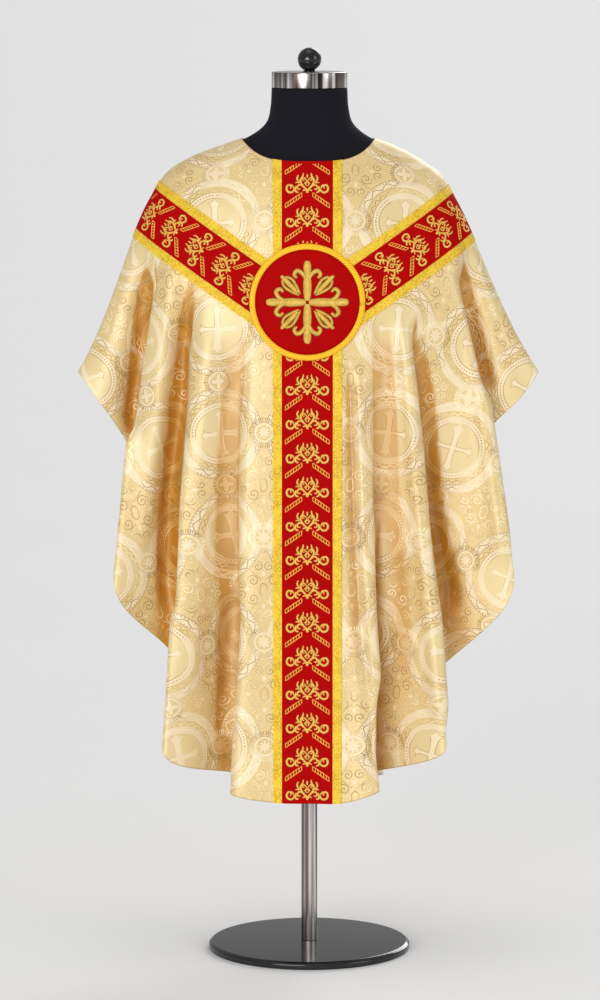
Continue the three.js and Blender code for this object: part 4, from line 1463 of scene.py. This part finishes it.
def torso_mesh(columns=112, rows=180):
    """The neck's rings, rings of the yoke set in under the cloth, and those below them."""
    neck, below = ([(row[0], *row, 2) for row in table] for table in (FORM_NECK, FORM_BELOW))
    under = [yoke_curve(ring) - UNDER_YOKE for ring in np.arange(0, 2.5, 0.5)]
    rings = np.array([*neck, *under, *below], float)
    knots = np.concatenate([[0], np.linalg.norm(np.diff(rings[:, [0, 4, 5]], axis=0), axis=1).cumsum()])
    fine = np.unique(np.concatenate([np.linspace(0, knots[-1], rows), knots]))
    angle = np.linspace(0, 360, columns, endpoint=False)
    grid = ring_points(smooth_curve(knots, rings)(fine)[None], angle[:, None])
    return capped_mesh("form_body", grid, (NECK_TOP, FORM_BOTTOM))


def add_dress_form():
    metal_with_painted_reflections, gloss = chrome(), enamel()
    add_piece("form_body", torso_mesh(), [jersey()], "jersey", "form_torso")

    low = NECK_TOP + SEAM
    cap = rounded([(0, low), (NECK_RADIUS, low), (NECK_RADIUS, CAP_TOP), (0, CAP_TOP)], CAP_ROUND)
    mesh = lathe_mesh("form_cap", cap, 96)
    # Its sides take the metal with painted reflections, its level faces the plain one
    for face in mesh.polygons:
        face.material_index = int(abs(face.normal.z) > 0.7)
    add_piece("form_cap", mesh, [metal_with_painted_reflections, chrome_plain()], "chrome", "form_neck_cap")

    foot = CAP_TOP + SEAM
    centre = foot + KNOB_RADIUS
    ball = [(0, foot), (KNOB_FOOT, foot), (KNOB_FOOT, foot + 1.2), (KNOB_STEM, foot + 2)]
    for angle in np.linspace(math.asin(KNOB_STEM / KNOB_RADIUS), math.pi, 28)[:-1]:
        ball.append((KNOB_RADIUS * math.sin(angle), centre - KNOB_RADIUS * math.cos(angle)))
    ball.append((0, centre + KNOB_RADIUS))
    add_piece("form_ball", lathe_mesh("form_ball", ball), [gloss], "enamel", "form_knob")

    rim, slope = (BASE_RADIUS, BASE_HEIGHT - BASE_SLOPE[1]), (BASE_RADIUS - BASE_SLOPE[0], BASE_HEIGHT)
    plate = rounded([(0, 0), (BASE_RADIUS, 0), rim, slope, (0, BASE_HEIGHT)], BASE_ROUND)
    add_piece("form_plate", lathe_mesh("form_plate", plate, 128), [gloss], "enamel", "form_base")

    low, high = BASE_HEIGHT + SEAM, FORM_BOTTOM - SEAM
    pole = rounded([(0, low), (POLE_RADIUS, low), (POLE_RADIUS, high), (0, high)], POLE_ROUND)
    add_piece("form_tube", lathe_mesh("form_tube", pole, 48), [metal_with_painted_reflections], "chrome", "form_pole")


# Stage, lights and camera

def add_camera():
    data = bpy.data.cameras.new("camera")
    camera = bpy.data.objects.new("camera", data)
    bpy.context.scene.collection.objects.link(camera)
    aim_height = (FLOOR_ROW - FRAME_HEIGHT / 2) * METRES_PER_PIXEL
    offset = (FRAME_MIDDLE - MIDDLE_COLUMN) * METRES_PER_PIXEL
    camera.location = (offset, -CAMERA_DISTANCE, CAMERA_HEIGHT)
    aim = Vector((offset, AIM_DEPTH, aim_height)) - camera.location
    camera.rotation_euler = aim.to_track_quat("-Z", "Y").to_euler()
    data.sensor_fit = "VERTICAL"
    data.sensor_height = SENSOR
    data.lens = SENSOR * aim.length / (FRAME_HEIGHT * METRES_PER_PIXEL)
    data.clip_end = CLIP_END
    bpy.context.scene.camera = camera


def add_stage():
    bpy.ops.mesh.primitive_plane_add(size=FLOOR_SIZE)
    floor = bpy.context.object
    floor.name = "floor"
    pale = grained(
        "floor_pale", (0.8, 2.0), (0.94, 0.94, 0.94), (0.96, 0.96, 0.96), Roughness=0.7, Metallic=0.0,
    )
    floor.data.materials.append(pale)


def add_lights():
    """Soft lights from far away, so that they fall evenly on the floor as well."""
    for name, away, strength, width in LIGHTS:
        data = bpy.data.lights.new(name, "SUN")
        data.energy = strength
        data.angle = math.radians(width)
        light = bpy.data.objects.new(name, data)
        bpy.context.scene.collection.objects.link(light)
        light.rotation_euler = Vector(away).to_track_quat("-Z", "Y").to_euler()
    world = bpy.data.worlds.new("studio")
    world.use_nodes = True
    background = world.node_tree.nodes["Background"]
    background.inputs["Color"].default_value = (1.0, 1.0, 1.0, 1.0)
    background.inputs["Strength"].default_value = WORLD_STRENGTH
    bpy.context.scene.world = world
    bpy.context.scene.view_settings.view_transform = "Standard"


add_camera()
add_stage()
add_lights()
add_garment()
add_dress_form()
